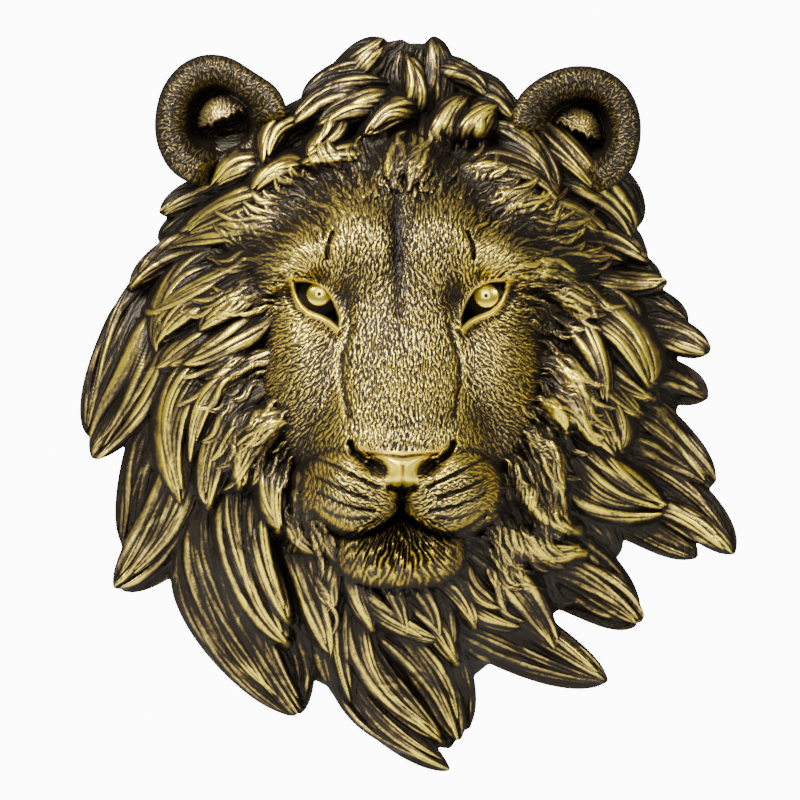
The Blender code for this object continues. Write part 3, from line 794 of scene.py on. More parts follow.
def slab(
    name: str,
    relief: Relief,
    cells: Array,
    rings: tuple[Point, ...],
    back: float,
    keyhole: bool = False,
) -> bpy.types.Object:
    """A solid from some of a relief's cells, meant to be closed.

    The front is the relief's own grid, with its outer edge moved onto the outline. From there the walls
    go back through rings, and the back is filled flat. On the outline each ring is inset along the slope
    of the inside field. Where the piece meets its neighbour, the walls go straight back.

    Known fault: at this grid pitch the triangle fill fails on the edge of the crown and leaves that piece's
    back open. It also leaves a hole of half a millimetre in the back of the right flank.

    Args:
        name: The piece's name.
        relief: The carved surface.
        cells: Which of its cells are in the piece.
        rings: Inset in millimetres and share of the way back, for each ring after the front's edge.
        back: The back plane's depth off the wall.
        keyhole: Whether the back has the screw's keyhole.

    Returns:
        The object, at the origin, with its gilding as an attribute.
    """
    corner = np.zeros(relief.x.shape, bool)
    corner[:-1, :-1] |= cells
    corner[1:, :-1] |= cells
    corner[:-1, 1:] |= cells
    corner[1:, 1:] |= cells
    number = np.full(relief.x.shape, -1)
    number[corner] = np.arange(corner.sum())
    a, b = number[:-1, :-1], number[:-1, 1:]
    c, d = number[1:, 1:], number[1:, :-1]
    quads = np.stack([a[cells], b[cells], c[cells], d[cells]], axis=1)

    padded = np.pad(cells, 1)
    below, above = padded[:-2, 1:-1], padded[2:, 1:-1]
    before, after = padded[1:-1, :-2], padded[1:-1, 2:]
    sides = ((below, a, b), (after, b, c), (above, c, d), (before, d, a))
    starts = np.concatenate([first[cells & ~other] for other, first, _ in sides])
    ends = np.concatenate([second[cells & ~other] for other, _, second in sides])

    rim, places = np.unique(starts, return_inverse=True)
    order = np.searchsorted(rim, ends)
    x, z = relief.x[corner], relief.z[corner]
    depth, gilt, inside = relief.depth[corner], relief.gilt[corner], relief.inside[corner]
    smooth = relief.blurred(relief.inside, 0.8)
    slope_z, slope_x = np.gradient(smooth, relief.pitch)
    steep = np.maximum(np.hypot(slope_x, slope_z), 0.2)
    in_x, in_z = (slope_x / steep)[corner][rim], (slope_z / steep)[corner][rim]
    outline = inside[rim] < 1.6 * relief.pitch
    shift = np.where(outline, np.clip(-inside[rim] / steep[corner][rim], -relief.pitch, relief.pitch), 0.0)
    x[rim] += shift * in_x
    z[rim] += shift * in_z

    points = [placed(x, z, depth)]
    values = [gilt]
    faces = [quads]
    outer = rim
    for inset, share in rings:
        inset = np.where(outline, inset, 0.0)
        ring_depth = depth[rim] + (back - depth[rim]) * share
        points.append(placed(x[rim] + inset * in_x, z[rim] + inset * in_z, ring_depth))
        values.append(gilt[rim] * (1.0 - share))
        inner = sum(len(rows) for rows in points[:-1]) + np.arange(len(rim))
        faces.append(np.stack([outer[order], outer[places], inner[places], inner[order]], axis=1))
        outer = inner
    points, faces, values = np.concatenate(points), np.concatenate(faces), np.concatenate(values)

    mesh = bpy.data.meshes.new(name)
    mesh.from_pydata(points, [], faces.tolist())
    attribute = mesh.attributes.new("gilt", "FLOAT", "POINT")
    attribute.data.foreach_set("value", values.astype(np.float32))
    bm = bmesh.new()
    bm.from_mesh(mesh)
    open_edges = [edge for edge in bm.edges if edge.is_boundary]
    if keyhole:
        open_edges += keyhole_pocket(bm)
    fill = bmesh.ops.triangle_fill(bm, edges=open_edges, use_beauty=False, use_dissolve=False)
    for face in fill["geom"]:
        if isinstance(face, bmesh.types.BMFace) and face.normal.y < 0.0:
            face.normal_flip()
    bm.to_mesh(mesh)
    bm.free()
    mesh.set_sharp_from_angle(angle=math.radians(80.0))
    normals = np.empty(3 * len(mesh.polygons), np.float32)
    mesh.polygons.foreach_get("normal", normals)
    mesh.polygons.foreach_set("use_smooth", normals[1::3] < 0.999)
    return linked(name, mesh)


def keyhole_pocket(bm: bmesh.types.BMesh) -> list[bmesh.types.BMEdge]:
    """Adds the screw's pocket: a round head and a slot above it, extruded in from the back plane.

    Args:
        bm: The mesh that gets the pocket's walls and floor.

    Returns:
        The edges of its mouth, in the back plane.
    """
    sink = math.asin(KEYHOLE_SLOT_RADIUS / KEYHOLE_HEAD_RADIUS)
    head = np.linspace(0.5 * math.pi + sink, 2.5 * math.pi - sink, 25)
    slot = np.linspace(0.0, math.pi, 11)
    x = np.concatenate([KEYHOLE_HEAD_RADIUS * np.cos(head), KEYHOLE_SLOT_RADIUS * np.cos(slot)])
    slot_z = KEYHOLE_RISE + KEYHOLE_SLOT_RADIUS * np.sin(slot)
    z = KEYHOLE_HEIGHT + np.concatenate([KEYHOLE_HEAD_RADIUS * np.sin(head), slot_z])
    mouth = [bm.verts.new(point) for point in placed(x, z, np.zeros_like(x))]
    floor = [bm.verts.new(point) for point in placed(x, z, np.full_like(x, KEYHOLE_DEPTH))]
    sides = [(first, (first + 1) % len(mouth)) for first in range(len(mouth))]
    for first, second in sides:
        bm.faces.new((mouth[first], floor[first], floor[second], mouth[second]))
    bm.faces.new(floor)
    return [bm.edges.get((mouth[first], mouth[second])) for first, second in sides]


# How far the lids open above and below the line between the corners, at shares of the way along it.
UPPER_LID = (
    (0.0, 0.0),
    (0.16, 4.6),
    (0.28, 6.7),
    (0.43, 7.9),
    (0.59, 7.2),
    (0.76, 5.2),
    (0.92, 2.9),
    (1.0, 0.0),
)
LOWER_LID = (
    (0.0, 0.0),
    (0.1, 2.2),
    (0.21, 3.7),
    (0.35, 4.7),
    (0.49, 4.5),
    (0.63, 2.6),
    (0.73, 1.2),
    (0.85, 0.2),
    (1.0, 0.0),
)


@dataclass
class Eye:
    """An eye: its corners and lids, the ball behind them, and the iris and pupil on the ball.

    The ball is a cap of a larger sphere, whose middle is sunk this far behind the socket.
    """

    outer: Point = EYE_OUTER
    inner: Point = EYE_INNER
    upper: tuple[Point, ...] = UPPER_LID
    lower: tuple[Point, ...] = LOWER_LID
    iris_radius: float = 6.4
    pupil_radius: float = 0.8
    ball_radius: float = 10.5
    ball_sphere: float = 23.2
    ball_sunk: float = 18.4

    def opening(self, x: Array, z: Array) -> tuple[Array, Array]:
        """How far inside the lids each place is, and how far above the line between the corners.

        Args:
            x: Places across, on the right half of the face.
            z: Places up.

        Returns:
            The least of the distances to the upper lid, to the lower lid and, with 1 mm added, to the
            corners; and the height above the line from corner to corner.
        """
        run_x, run_z = self.inner[0] - self.outer[0], self.inner[1] - self.outer[1]
        long = math.hypot(run_x, run_z)
        along = ((x - self.outer[0]) * run_x + (z - self.outer[1]) * run_z) / long
        across = ((x - self.outer[0]) * run_z - (z - self.outer[1]) * run_x) / long
        upper = np.interp(along / long, *np.array(self.upper).T)
        lower = np.interp(along / long, *np.array(self.lower).T)
        lids = np.minimum(upper - across, lower + across)
        return np.minimum(lids, np.minimum(along, 1.8 * (long - along)) + 1.0), across


@dataclass
class Face:
    """The face: its modelling, its eyes, nose, muzzle and chin, and the hair that covers it."""

    eye: Eye = field(default_factory=Eye)

    def depth(self, x: Array, z: Array) -> Array:
        """The face without its eyes, nostrils, mouth and hair.

        Args:
            x: Places across.
            z: Places up.

        Returns:
            How far it stands off the wall: mounds joined by fillets, less hollows and grooves. In order
            they are the skull, cheeks, muzzle, jaw, inner brows, outer brows, middle ridge, whisker pads,
            nose and chin.
        """
        side = np.abs(x)
        face = mound(x, z, (0, 56), (72, 66), 94, 36, sharp=2.6)
        face = smooth_max(face, mound(side, z, (37, 4), (32, 52), 97, 30, -0.12, sharp=2.4), 12)
        face = smooth_max(face, mound(x, z, (0, -40), (33, 32), 107, 34, sharp=3.0), 8)
        face = smooth_max(face, mound(x, z, (0, -62), (34, 25), 100, 34, sharp=3.0), 6)
        face = smooth_max(face, mound(side, z, (20, 74), (19, 24), 103, 12, sharp=3.0), 4)
        face = smooth_max(face, mound(side, z, (44, 72), (21, 13), 96, 12, -0.35, sharp=2.4), 7)
        steps = (-5.0, -2.5, 0.0, 2.5, 5.0)
        ridge = sum(np.interp(z + step, *np.array(PROFILE).T) for step in steps) / len(steps)
        face = smooth_max(face, ridge - 11.0 * (side / 27.0) ** 2.7, 12)
        whisker_pad = mound(side, z, (21, -44.5), (21, 18.5), 137, 17, 0.5, power=2.4, sharp=3.4)
        face = smooth_max(face, whisker_pad, 3)
        face = smooth_max(face, mound(x, z, (0, -35), (23, 14), 140.5, 13, power=2.6, sharp=2.6), 5)
        face = smooth_max(face, mound(x, z, (0, -74), (26, 16), 121, 18, power=2.6, sharp=4.0), 3)
        face = face - groove(x, z, ((-1, 44), (-2, 106)), 2.6, 2.4)
        face = face - groove(side, z, ((36.5, 71), (36.2, 78), (33.5, 84)), 1.1, 3.2)
        face = face - 4.0 * spot(side, z, (27, 54), (5, 11))
        face = face - 1.2 * spot(side, z, (33, 12), (6, 20))
        face = face - groove(side, z, ((24.5, 37), (29.5, 20), (29.5, 9), (26.5, -8)), 1.4, 1.8)
        return face

    def carve_eyes(self, x: Array, z: Array) -> Array:
        """What the eyes add to the face.

        Args:
            x: Places across.
            z: Places up.

        Returns:
            A hollow socket, an opening for the ball, deepest at the inner corner, a raised rim round it
            with a crease above and a line below, and a short cut past the outer corner.
        """
        side = np.abs(x)
        inside, across = self.eye.opening(side, z)
        socket = -5.0 * spot(side, z, (41, 49), (17, 12), 0.74)
        opening = -7.0 * eased(inside, -0.5, 0.9)
        opening = opening - 11.0 * eased(inside, -0.1, 1.3) * spot(side, z, (33.0, 40.0), (6, 6))
        rim = (2.8 - 2.2 * eased(across, 0.0, 2.5)) * np.exp(-(((inside + 1.7) / 1.6) ** 2))
        above = eased(across, 1.0, 4.0) * eased(side, 38.0, 46.0)
        crease = -1.2 * np.exp(-(((inside + 3.6) / 0.8) ** 2)) * above
        under = -1.0 * np.exp(-(((inside + 5.4) / 1.2) ** 2)) * eased(-across, 0.0, 3.0)
        tail = -groove(side, z, ((51.5, 58.0), (58.5, 58.5)), 0.8, 1.8)
        return socket + opening + rim + crease + under + tail

    def nose_leather(self, x: Array, z: Array) -> Array:
        """How far inside the bare nose pad each place is: the half width at its height, less |x|."""
        heights = (-44.5, -42.5, -38.0, -34.0, -30.0, -28.0, -26.6, -25.0)
        half_widths = (-3.0, 7.2, 6.6, 7.6, 9.6, 15.0, 18.0, -3.0)
        return np.interp(z - 0.004 * x**2, heights, half_widths) - np.abs(x)

    def mouth(self, side: Array) -> Array:
        """The height of the line between the lips at this distance from the middle."""
        return -56.0 - 12.0 * np.sin(np.clip(side / 44.0, 0.0, 1.0) * np.pi)

    def carve_muzzle(self, x: Array, z: Array) -> Array:
        """What the muzzle's cuts take out of the face.

        Args:
            x: Places across.
            z: Places up.

        Returns:
            Less than 0 in the cleft under the nose, the line of the mouth, the nostrils and their wings,
            the edges and the middle of the nose pad, and the rows of whisker roots.
        """
        side = np.abs(x)
        cut = groove(side, z, ((0, -44), (0, -57)), 2.4, 9.0)
        cut = cut + 9.0 * np.exp(-(((z - self.mouth(side)) / 2.4) ** 2)) * (1.0 - eased(side, 42.0, 46.0))
        cut = cut + 13.0 * spot(side, z, (13.6, -33.2), (6.6, 3.7), 0.5)
        cut = cut + groove(side, z, ((25.6, -21.5), (23.8, -26.0), (20.0, -29.5)), 1.5, 8.0)
        cut = cut + groove(side, z, ((0, -28.6), (9, -27.4), (17, -27.2)), 1.0, 2.6)
        cut = cut + groove(side, z, ((0, -33.0), (0, -44.0)), 0.8, 1.5)
        cut = cut + groove(side, z, ((5.5, -43.6), (0, -46.0)), 2.2, 7.0)
        for row in WHISKER_ROWS:
            cut = cut + groove(side, z, row, 1.0, 2.0)
        return -cut

    def chin_hair(self, x: Array, z: Array) -> Array:
        """Strands that fan down the chin: wavy ridges at equal angles about a point above it."""
        dx, dz = x - CHIN_FROM[0], CHIN_FROM[1] - z
        angle, away = np.arctan2(dx, np.maximum(dz, 0.1)), np.hypot(dx, dz)
        on_chin = eased(mound(x, z, (0, -78), (30, 21), 1.0, 1.0, power=2.6), 0.0, 0.25)
        ridges = crest(angle * 9.0 + 0.24 * np.sin(0.55 * away + 9.0 * np.sin(5.0 * angle)), 1.7)
        return on_chin * (4.6 * ridges - 2.4)

    def flow_guides(self) -> Array:
        """The guides of both halves of the face, in rows of place and direction."""
        rows = np.array([(*place, *way) for place, way in FACE_FLOW], float)
        return np.concatenate([rows, rows * (-1.0, 1.0, -1.0, 1.0)])

    def eye_dark(self, x: Array, z: Array) -> Array:
        """1 inside the eyes' openings, where no gold reaches."""
        inside, _ = self.eye.opening(np.abs(x), z)
        return eased(inside, -0.6, 0.3)

    def bareness(self, x: Array, z: Array) -> Array:
        """1 where there is no hair: on the lids' rims, the nose pad and in the eyes; 0 elsewhere."""
        side = np.abs(x)
        inside, across = self.eye.opening(side, z)
        lids = eased(inside - 2.2 * eased(across, -0.5, 2.0), -3.9, -2.7)
        return np.maximum(lids, eased(self.nose_leather(x, z), -1.2, 0.2))

    def tone(self, x: Array, z: Array) -> Array:
        """Where the gold was rubbed on more or less, and where shade is painted on.

        Args:
            x: Places across.
            z: Places up.

        Returns:
            What is added to the gilding: less down the middle of the forehead, at the inner corners of
            the eyes, round the mouth and on the lower cheeks, more on the brows, the bridge, the upper
            lip and under the eyes, and less along the whisker rows. A band just above the upper lids, under
            the brows, is darkened as painted shade.
        """
        side = np.abs(x)
        tone = -0.5 * spot(x, z, (-1.5, 82), (5.5, 38)) - 0.42 * spot(side, z, (26.5, 54), (6, 13))
        tone = tone + 0.12 * spot(side, z, (31, 10), (5, 24)) - 0.42 * spot(x, z, (0, -68), (30, 11))
        tone = tone + 0.12 * self.chin_hair(x, z)
        tone = tone + 0.12 * spot(side, z, (47, 66), (14, 7), -0.3)
        tone = tone + 0.16 * spot(side, z, (48, 40), (13, 12))
        tone = tone + 0.07 * spot(side, z, (18, 72), (14, 20)) + 0.1 * spot(x, z, (0, -2), (22, 26))
        tone = tone - 0.09 * spot(x, z, (0, 88), (36, 26)) - 0.04 * spot(side, z, (46, 14), (18, 26))
        # painted shade: a band just above the upper lids, under the brows' overhang, darkened
        tone = tone - 0.08 * spot(side, z, (43, 63), (9, 4), -0.2)
        tone = tone + groove(side, z, ((26.0, 38), (31.8, 20), (31.8, 9), (28.8, -8)), 1.1, 0.25)
        tone = tone - groove(side, z, ((23.5, 36), (28.6, 20), (28.6, 9), (25.5, -8)), 1.5, 0.3)
        upper_lip = np.exp(-(((z - self.mouth(side) - 3.4) / 1.1) ** 2))
        tone = tone + 0.3 * upper_lip * (1.0 - eased(side, 36.0, 42.0))
        for row in WHISKER_ROWS:
            tone = tone - groove(side, z, row, 1.2, 0.3)
        return tone - 0.2 * spot(side, z, (52, -30), (12, 22)) - 0.12 * spot(side, z, (24, -48), (22, 14))


# Where more or less gold was rubbed on the mane, and painted light: middle, radii and how much more.
MANE_TONES_AND_PAINTED_LIGHT = (
    # painted light: the left flank is lightened, since the lamps light its locks too little
    ((-130, 12), (28, 38), 0.12),
    ((128, 5), (40, 60), 0.05),
    ((0, 145), (64, 34), -0.13),
    ((5, -140), (50, 45), -0.09),
    ((-85, -110), (40, 50), -0.03),
)


@dataclass
class Mane:
    """The mane: a dome of hair with named locks, low fillers between them and small tufts round the face."""

    locks: tuple[Lock, ...] = MANE
    bundle: Bundle = field(default_factory=Bundle)
    nose_height: float = -30.0
    tuft_rings: int = 11
    tufts_round: int = 84
    tuft_radii: Point = (66.0, 84.0)
    tuft_drop: float = 120.0
    tuft_middle: Point = (1.0, 28.0)
    filler_count: int = 200

    def dome(self, x: Array, z: Array) -> tuple[Array, Array]:
        """The mass under the locks, and how far inside its outline each place is.

        Args:
            x: Places across.
            z: Places up.

        Returns:
            rim + rise (1 - out^shoulder)^rounding, with out the share of the reach, and reach (1 - out).
        """
        dx, dz = x - DOME_CENTRE[0], z - DOME_CENTRE[1]
        radius = np.hypot(dx, dz)
        reach = dome_reach(np.arctan2(dz, dx))
        out = np.minimum(radius / reach, 1.0)
        upwards = np.clip(dz / np.maximum(radius, 1e-6), 0.0, 1.0) * out
        rim = DOME_RIM + (DOME_RIM_AT_CROWN - DOME_RIM) * upwards**4
        return rim + DOME_RISE * (1.0 - out**DOME_SHOULDER) ** DOME_ROUNDING, reach - radius

    def ear_roots(self, x: Array, z: Array) -> Array:
        """The scalp under the ears.

        Args:
            x: Places across.
            z: Places up.

        Returns:
            foot + rise sqrt(1 - out^2) within a circle a little inwards of each ear, and 0 elsewhere.
        """
        inwards, reach, foot, rise = 0.84, 27.0, 14.0, 18.0
        height = np.zeros_like(x)
        for middle in EAR_MIDDLES:
            out = np.hypot(x - inwards * middle[0], z - inwards * middle[1]) / reach
            scalp = foot + rise * np.sqrt(np.maximum(1.0 - out**2, 0.0))
            height = np.maximum(height, np.where(out < 1.0, scalp, 0.0))
        return height

    def flow_guides(self) -> Array:
        """The locks' own directions near their roots, middles and tips, in rows of place and direction."""
        rows = [
            (*lock.spine(t), *lock.heading(t))
            for lock in self.locks
            for t in (np.float64(0.1), np.float64(0.5), np.float64(0.9))
        ]
        return np.array(rows, float)

    def grown_from(
        self,
        relief: Relief,
        x: Array,
        z: Array,
        long: Array,
        width: Array,
        lift: Array,
        stray: float,
        **sizes: float,
    ) -> list[Lock]:
        """Locks rooted at these places, each along the flow and away from the nose.

        Args:
            relief: The surface whose flow they follow.
            x: Where they are rooted, across.
            z: Where they are rooted, up.
            long: Their lengths.
            width: Their widths.
            lift: How far they lie above the ground.
            stray: The most that one is turned from the flow, in radians.
            sizes: Sizes that are the same for all of them.

        Returns:
            One lock for each root, with a small random turn, bow and sway.
        """
        count = len(x)
        at = relief.cells_at(x, z)
        flow_x, flow_z = relief.flow_x[at], relief.flow_z[at]
        outwards = np.where(flow_x * x + flow_z * (z - self.nose_height) < 0.0, -1.0, 1.0)
        turn = relief.random.uniform(-stray, stray, count) + np.arctan2(flow_z * outwards, flow_x * outwards)
        bow = relief.random.uniform(-0.08, 0.08, count)
        sway = np.sign(x) * relief.random.uniform(0.02, 0.13, count)
        tips = zip(x + long * np.cos(turn), z + long * np.sin(turn))
        rows = zip(zip(x, z), tips, bow, width, lift, sway)
        return [Lock(root, tip, a, b, c, d, **sizes) for root, tip, a, b, c, d in rows]

    def tufts(self, relief: Relief) -> list[Lock]:
        """Small wavy tufts in rings round the face.

        Args:
            relief: The surface whose flow they follow.

        Returns:
            The outer rings first. They are longer and wider than the inner ones. None grow under the chin
            or where the flow runs round the face.
        """
        found = []
        for share in np.linspace(1.0, 0.0, self.tuft_rings):
            count = int(self.tufts_round * (0.9 + 0.4 * share))
            angle = np.linspace(0.0, 2.0 * np.pi, count, endpoint=False)
            angle = angle + relief.random.uniform(-0.04, 0.04, count)
            out_x = self.tuft_radii[0] * (0.9 + 0.34 * share)
            out_z = self.tuft_radii[1] * (0.9 + 0.18 * share)
            out_z = np.where(angle % (2.0 * np.pi) > np.pi, self.tuft_drop * (0.95 + 0.1 * share), out_z)
            x = self.tuft_middle[0] + out_x * np.cos(angle) + relief.random.uniform(-3, 3, count)
            z = self.tuft_middle[1] + out_z * np.sin(angle) + relief.random.uniform(-3, 3, count)
            long = (12.0 + 15.0 * share) * relief.random.uniform(0.75, 1.3, count)
            width = (2.0 + 2.1 * share) * relief.random.uniform(0.75, 1.35, count)
            lift = 0.5 + 1.6 * relief.random.uniform(0.0, 1.0, count)
            long = long * np.where(z > 95.0, 0.6, 1.0)
            at = relief.cells_at(x, z)
            from_nose = z - self.nose_height
            along = np.abs(relief.flow_x[at] * x + relief.flow_z[at] * from_nose) / np.hypot(x, from_nose)
            kept = ((np.abs(x) > 40.0) | (z > -60.0)) & (along > 0.45)
            x, z, long, width, lift = x[kept], z[kept], long[kept], width[kept], lift[kept]
            sizes = {"ridges": 1.3, "body": 0.5, "crown": 0.28, "sink": 0.6, "slow": 0.3}
            found += self.grown_from(relief, x, z, long, width, lift, 0.07, **sizes)
        return found

    def fillers(self, relief: Relief) -> list[Lock]:
        """Thin low locks scattered over the dome, which show in the gaps between the named ones.

        Args:
            relief: The surface whose flow they follow.

        Returns:
            Those that don't end outside the dome.
        """
        count = self.filler_count
        angle = relief.random.uniform(0.0, 2.0 * np.pi, count)
        out = relief.random.uniform(0.48, 0.88, count) * dome_reach(angle)
        x, z = DOME_CENTRE[0] + out * np.cos(angle), DOME_CENTRE[1] + out * np.sin(angle)
        long = relief.random.uniform(20.0, 34.0, count)
        width = relief.random.uniform(3.5, 7.0, count)
        lift = relief.random.uniform(-1.0, 2.5, count)
        sizes = {"ridges": 2.0, "body": 1.2, "crown": 0.2, "sink": 0.8}
        grown = self.grown_from(relief, x, z, long, width, lift, 0.3, **sizes)
        return [lock for lock in grown if self.covers(lock.tip)]

    def covers(self, place: Point) -> bool:
        """Whether the dome reaches this place, or nearly."""
        dx, dz = place[0] - DOME_CENTRE[0], place[1] - DOME_CENTRE[1]
        return bool(math.hypot(dx, dz) < dome_reach(np.float64(math.atan2(dz, dx))) + 2.0)

    def tone(self, x: Array, z: Array) -> Array:
        """Gold rubbed on more or less, and painted light on the left flank: the sum of a few broad spots."""
        return sum(more * spot(x, z, middle, radii) for middle, radii, more in MANE_TONES_AND_PAINTED_LIGHT)


@dataclass
class Mask:
    """The whole front of the mask as one relief, cut into pieces.

    Kept from the carving for the gilding are the fine hair, the broad bands along the locks, where a lock
    lies, and where neither a lock nor a tuft does.
    """

    face: Face = field(default_factory=Face)
    mane: Mane = field(default_factory=Mane)
    relief: Relief = field(default_factory=lambda: Relief((-168.0, -192.0), (174.0, 188.0)))
    hair: Array = field(init=False)
    on_lock: Array = field(init=False)
    bands: Array = field(init=False)
    in_gap: Array = field(init=False)
    face_middle: Point = (0.0, 12.0)
    face_radii: Point = (82.0, 116.0)
    face_cut: float = 16.0
    walls: tuple[Point, ...] = ((0.5, 0.35), (3.5, 1.0))

    def carve(self) -> None:
        """Builds up the surface.

        Dome, ear roots and face come first, then the low fillers and the named locks, the tufts draped over
        them, the features of the face, and the fine hair. All that is random about the locks is drawn
        before the first grain.
        """
        r = self.relief
        dome, inside = self.mane.dome(r.x, r.z)
        roots = self.mane.ear_roots(r.x, r.z)
        dome = np.maximum(dome, roots)
        r.inside = np.maximum(inside, np.where(roots > 0.0, 1.0, FAR_OUTSIDE))
        face = self.face.depth(r.x, r.z)
        bare = smooth_max(dome, face, 5.0)
        ground = r.blurred(np.minimum(bare, dome + ROOTS_ABOVE), 6.0)
        r.lay_flow(np.concatenate([self.face.flow_guides(), self.mane.flow_guides()]))
        r.depth = bare.copy()
        tufts = self.mane.tufts(r)
        for lock in self.mane.fillers(r):
            r.lay_lock(lock, ground, float(r.random.uniform()))
        before = r.depth.copy()
        for named in self.mane.locks:
            for lock in self.mane.bundle.strands(named, r.random):
                r.lay_lock(lock, ground, float(r.random.uniform()))
        self.on_lock = eased(r.depth - before, 0.2, 1.5)
        before = r.depth.copy()
        draped = np.maximum(r.blurred(r.depth, 3.5), r.depth - 1.5)
        for lock in tufts:
            r.lay_lock(lock, draped, float(r.random.uniform()))
        on_tuft = eased(r.depth - before, 0.1, 0.8)
        self.in_gap = (1.0 - self.on_lock) * (1.0 - on_tuft)
        self.on_lock = self.on_lock * (1.0 - 0.5 * on_tuft)
        r.inside = r.blurred(r.inside, 0.7) - 0.1
        LOG.info("locks laid")

        on_face = self.face_share()
        features = self.face.carve_eyes(r.x, r.z) + self.face.carve_muzzle(r.x, r.z)
        features = features + self.face.chin_hair(r.x, r.z)
        r.depth = r.depth + features * eased(on_face, 0.02, 0.2)
        self.comb()

    def face_share(self) -> Array:
        """1 in the middle of the face and 0 from its outline outwards."""
        return mound(self.relief.x, self.relief.z, self.face_middle, self.face_radii, 1.0, 1.0)

    def comb(self) -> None:
        """Lays the fine hair: short fine strokes at the nose, longer and coarser ones towards the mane.

        What the fine strokes share with their surroundings is taken out, so that they stay evenly strong.
        """
        r = self.relief
        away = np.hypot(r.x / 72.0, (r.z - 12.0) / 96.0)
        grown = eased(away, 0.75, 1.3)
        sway = 0.22 * r.grain(1.3) * (1.0 - grown) + 0.45 * grown * r.grain(3.5)
        r.turn_flow(sway)
        long = np.hypot(r.flow_x, r.flow_z)
        r.flow_x, r.flow_z = r.flow_x / long, r.flow_z / long
        fine = r.combed(r.grain(0.17), 1.05, 6)
        coarse = r.combed(r.grain(0.34), 6.0, 20)
        fine = fine - 0.9 * r.blurred(fine, 0.8)
        fine, coarse = fine / fine.std(), coarse / coarse.std()
        bands = r.combed(r.grain(1.2), 9.0, 24)
        self.bands = self.on_lock * bands / bands.std()
        hair = fine * (1.0 - 0.75 * grown) + coarse * 0.75 * grown
        self.hair = np.tanh(1.5 * (hair - 0.25))
        high = 0.36 + 0.12 * grown - 0.38 * self.on_lock
        r.depth = r.depth + self.hair * high * (1.0 - self.face.bareness(r.x, r.z)) + 0.12 * self.bands

    def gild(self) -> None:
        """Rubs gold on what stands proud: strands, crests and whole locks above their surroundings.
        Also paints shade at the locks' roots and under the brows, and light on the mane's left flank.
        """
        r = self.relief
        fine, middling, broad = r.rise(0.7), r.rise(2.2), r.rise(7.0)
        on_face = eased(self.face_share(), 0.05, 0.35)
        slope_z, slope_x = np.gradient(r.blurred(r.depth, 0.6), r.pitch)
        steep = np.clip(np.hypot(slope_x, slope_z) - 0.9, 0.0, 2.0) * (1.0 - 0.9 * on_face)
        gilt = 0.30 + 0.10 * on_face + 0.5 * np.clip(fine, -0.4, 0.4) - 0.13 * steep
        gilt = gilt + (0.26 - 0.08 * on_face) * np.clip(middling, -1.2, 1.1)
        gilt = gilt + (0.065 - 0.04 * on_face) * np.clip(broad, -7.0, 4.0)
        # the strands' backs, which carry painted shade towards the locks' roots
        gilt = gilt + (1.0 - on_face) * (0.85 * (r.backs_and_root_shade - 0.83) - 0.3 * self.in_gap)
        gilt = gilt + 0.05 * r.grain(6.0) + 0.05 * r.grain(0.5)
        gilt = gilt + self.hair * (0.12 + 0.14 * on_face - 0.11 * self.on_lock) + 0.08 * self.bands
        # broad tones of the rubbed gold, with painted shade under the brows and painted light on the mane's
        # left flank
        gilt = gilt + self.face.tone(r.x, r.z) * on_face + self.mane.tone(r.x, r.z) * (1.0 - on_face)
        bare = self.face.bareness(r.x, r.z) * on_face
        smooth = 0.85 + 0.1 * np.clip(middling, -5.0, 0.5) + 0.5 * np.clip(fine, -0.8, 0.0)
        gilt = gilt * (1.0 - bare) + bare * smooth
        gilt = gilt * (1.0 - 0.9 * self.face.eye_dark(r.x, r.z) * on_face)
        r.gilt = np.clip(gilt, 0.0, 1.0)

    def zones(self) -> Array:
        """Which zone each of the grid's cells is in, as its number, or -1 outside the outline.

        The mane is cut at angles about the middle of the dome, and the face at a height. Where two cells
        of one zone touch only at a corner, a cell between them joins that zone.
        """
        r = self.relief
        x = r.x[:-1, :-1] + 0.5 * r.pitch
        z = r.z[:-1, :-1] + 0.5 * r.pitch
        order = list(Zone)
        angle = np.degrees(np.arctan2(z - DOME_CENTRE[1], x - DOME_CENTRE[0])) % 360.0
        number = np.full(x.shape, order.index(Zone.RIGHT))
        for start, end, zone in MANE_CUTS:
            number[(angle > start) & (angle <= end)] = order.index(zone)
        in_face = mound(x, z, self.face_middle, self.face_radii, 1.0, 1.0) > 0.0
        number[in_face & (z > self.face_cut)] = order.index(Zone.FOREHEAD)
        number[in_face & (z <= self.face_cut)] = order.index(Zone.MUZZLE)
        number[r.middles(r.inside) <= 0.0] = -1
        for _ in range(3):
            a, b, c, d = number[:-1, :-1], number[:-1, 1:], number[1:, :-1], number[1:, 1:]
            pinched = (a == d) & (a != b) & (a != c)
            number[:-1, 1:][pinched] = a[pinched]
            a, b, c, d = number[:-1, :-1], number[:-1, 1:], number[1:, :-1], number[1:, 1:]
            pinched = (b == c) & (b != a) & (b != d)
            number[:-1, :-1][pinched] = b[pinched]
        return number

    def build(self) -> list[bpy.types.Object]:
        """Carves, gilds and cuts the relief, and returns its pieces."""
        self.carve()
        LOG.info("relief carved")
        self.gild()
        LOG.info("relief gilded")
        number = self.zones()
        pieces = []
        for index, zone in enumerate(Zone):
            piece = slab(zone.value, self.relief, number == index, self.walls, 0.0, zone is Zone.FOREHEAD)
            LOG.info("%s: %d faces", zone.value, len(piece.data.polygons))
            pieces.append(piece)
        return pieces


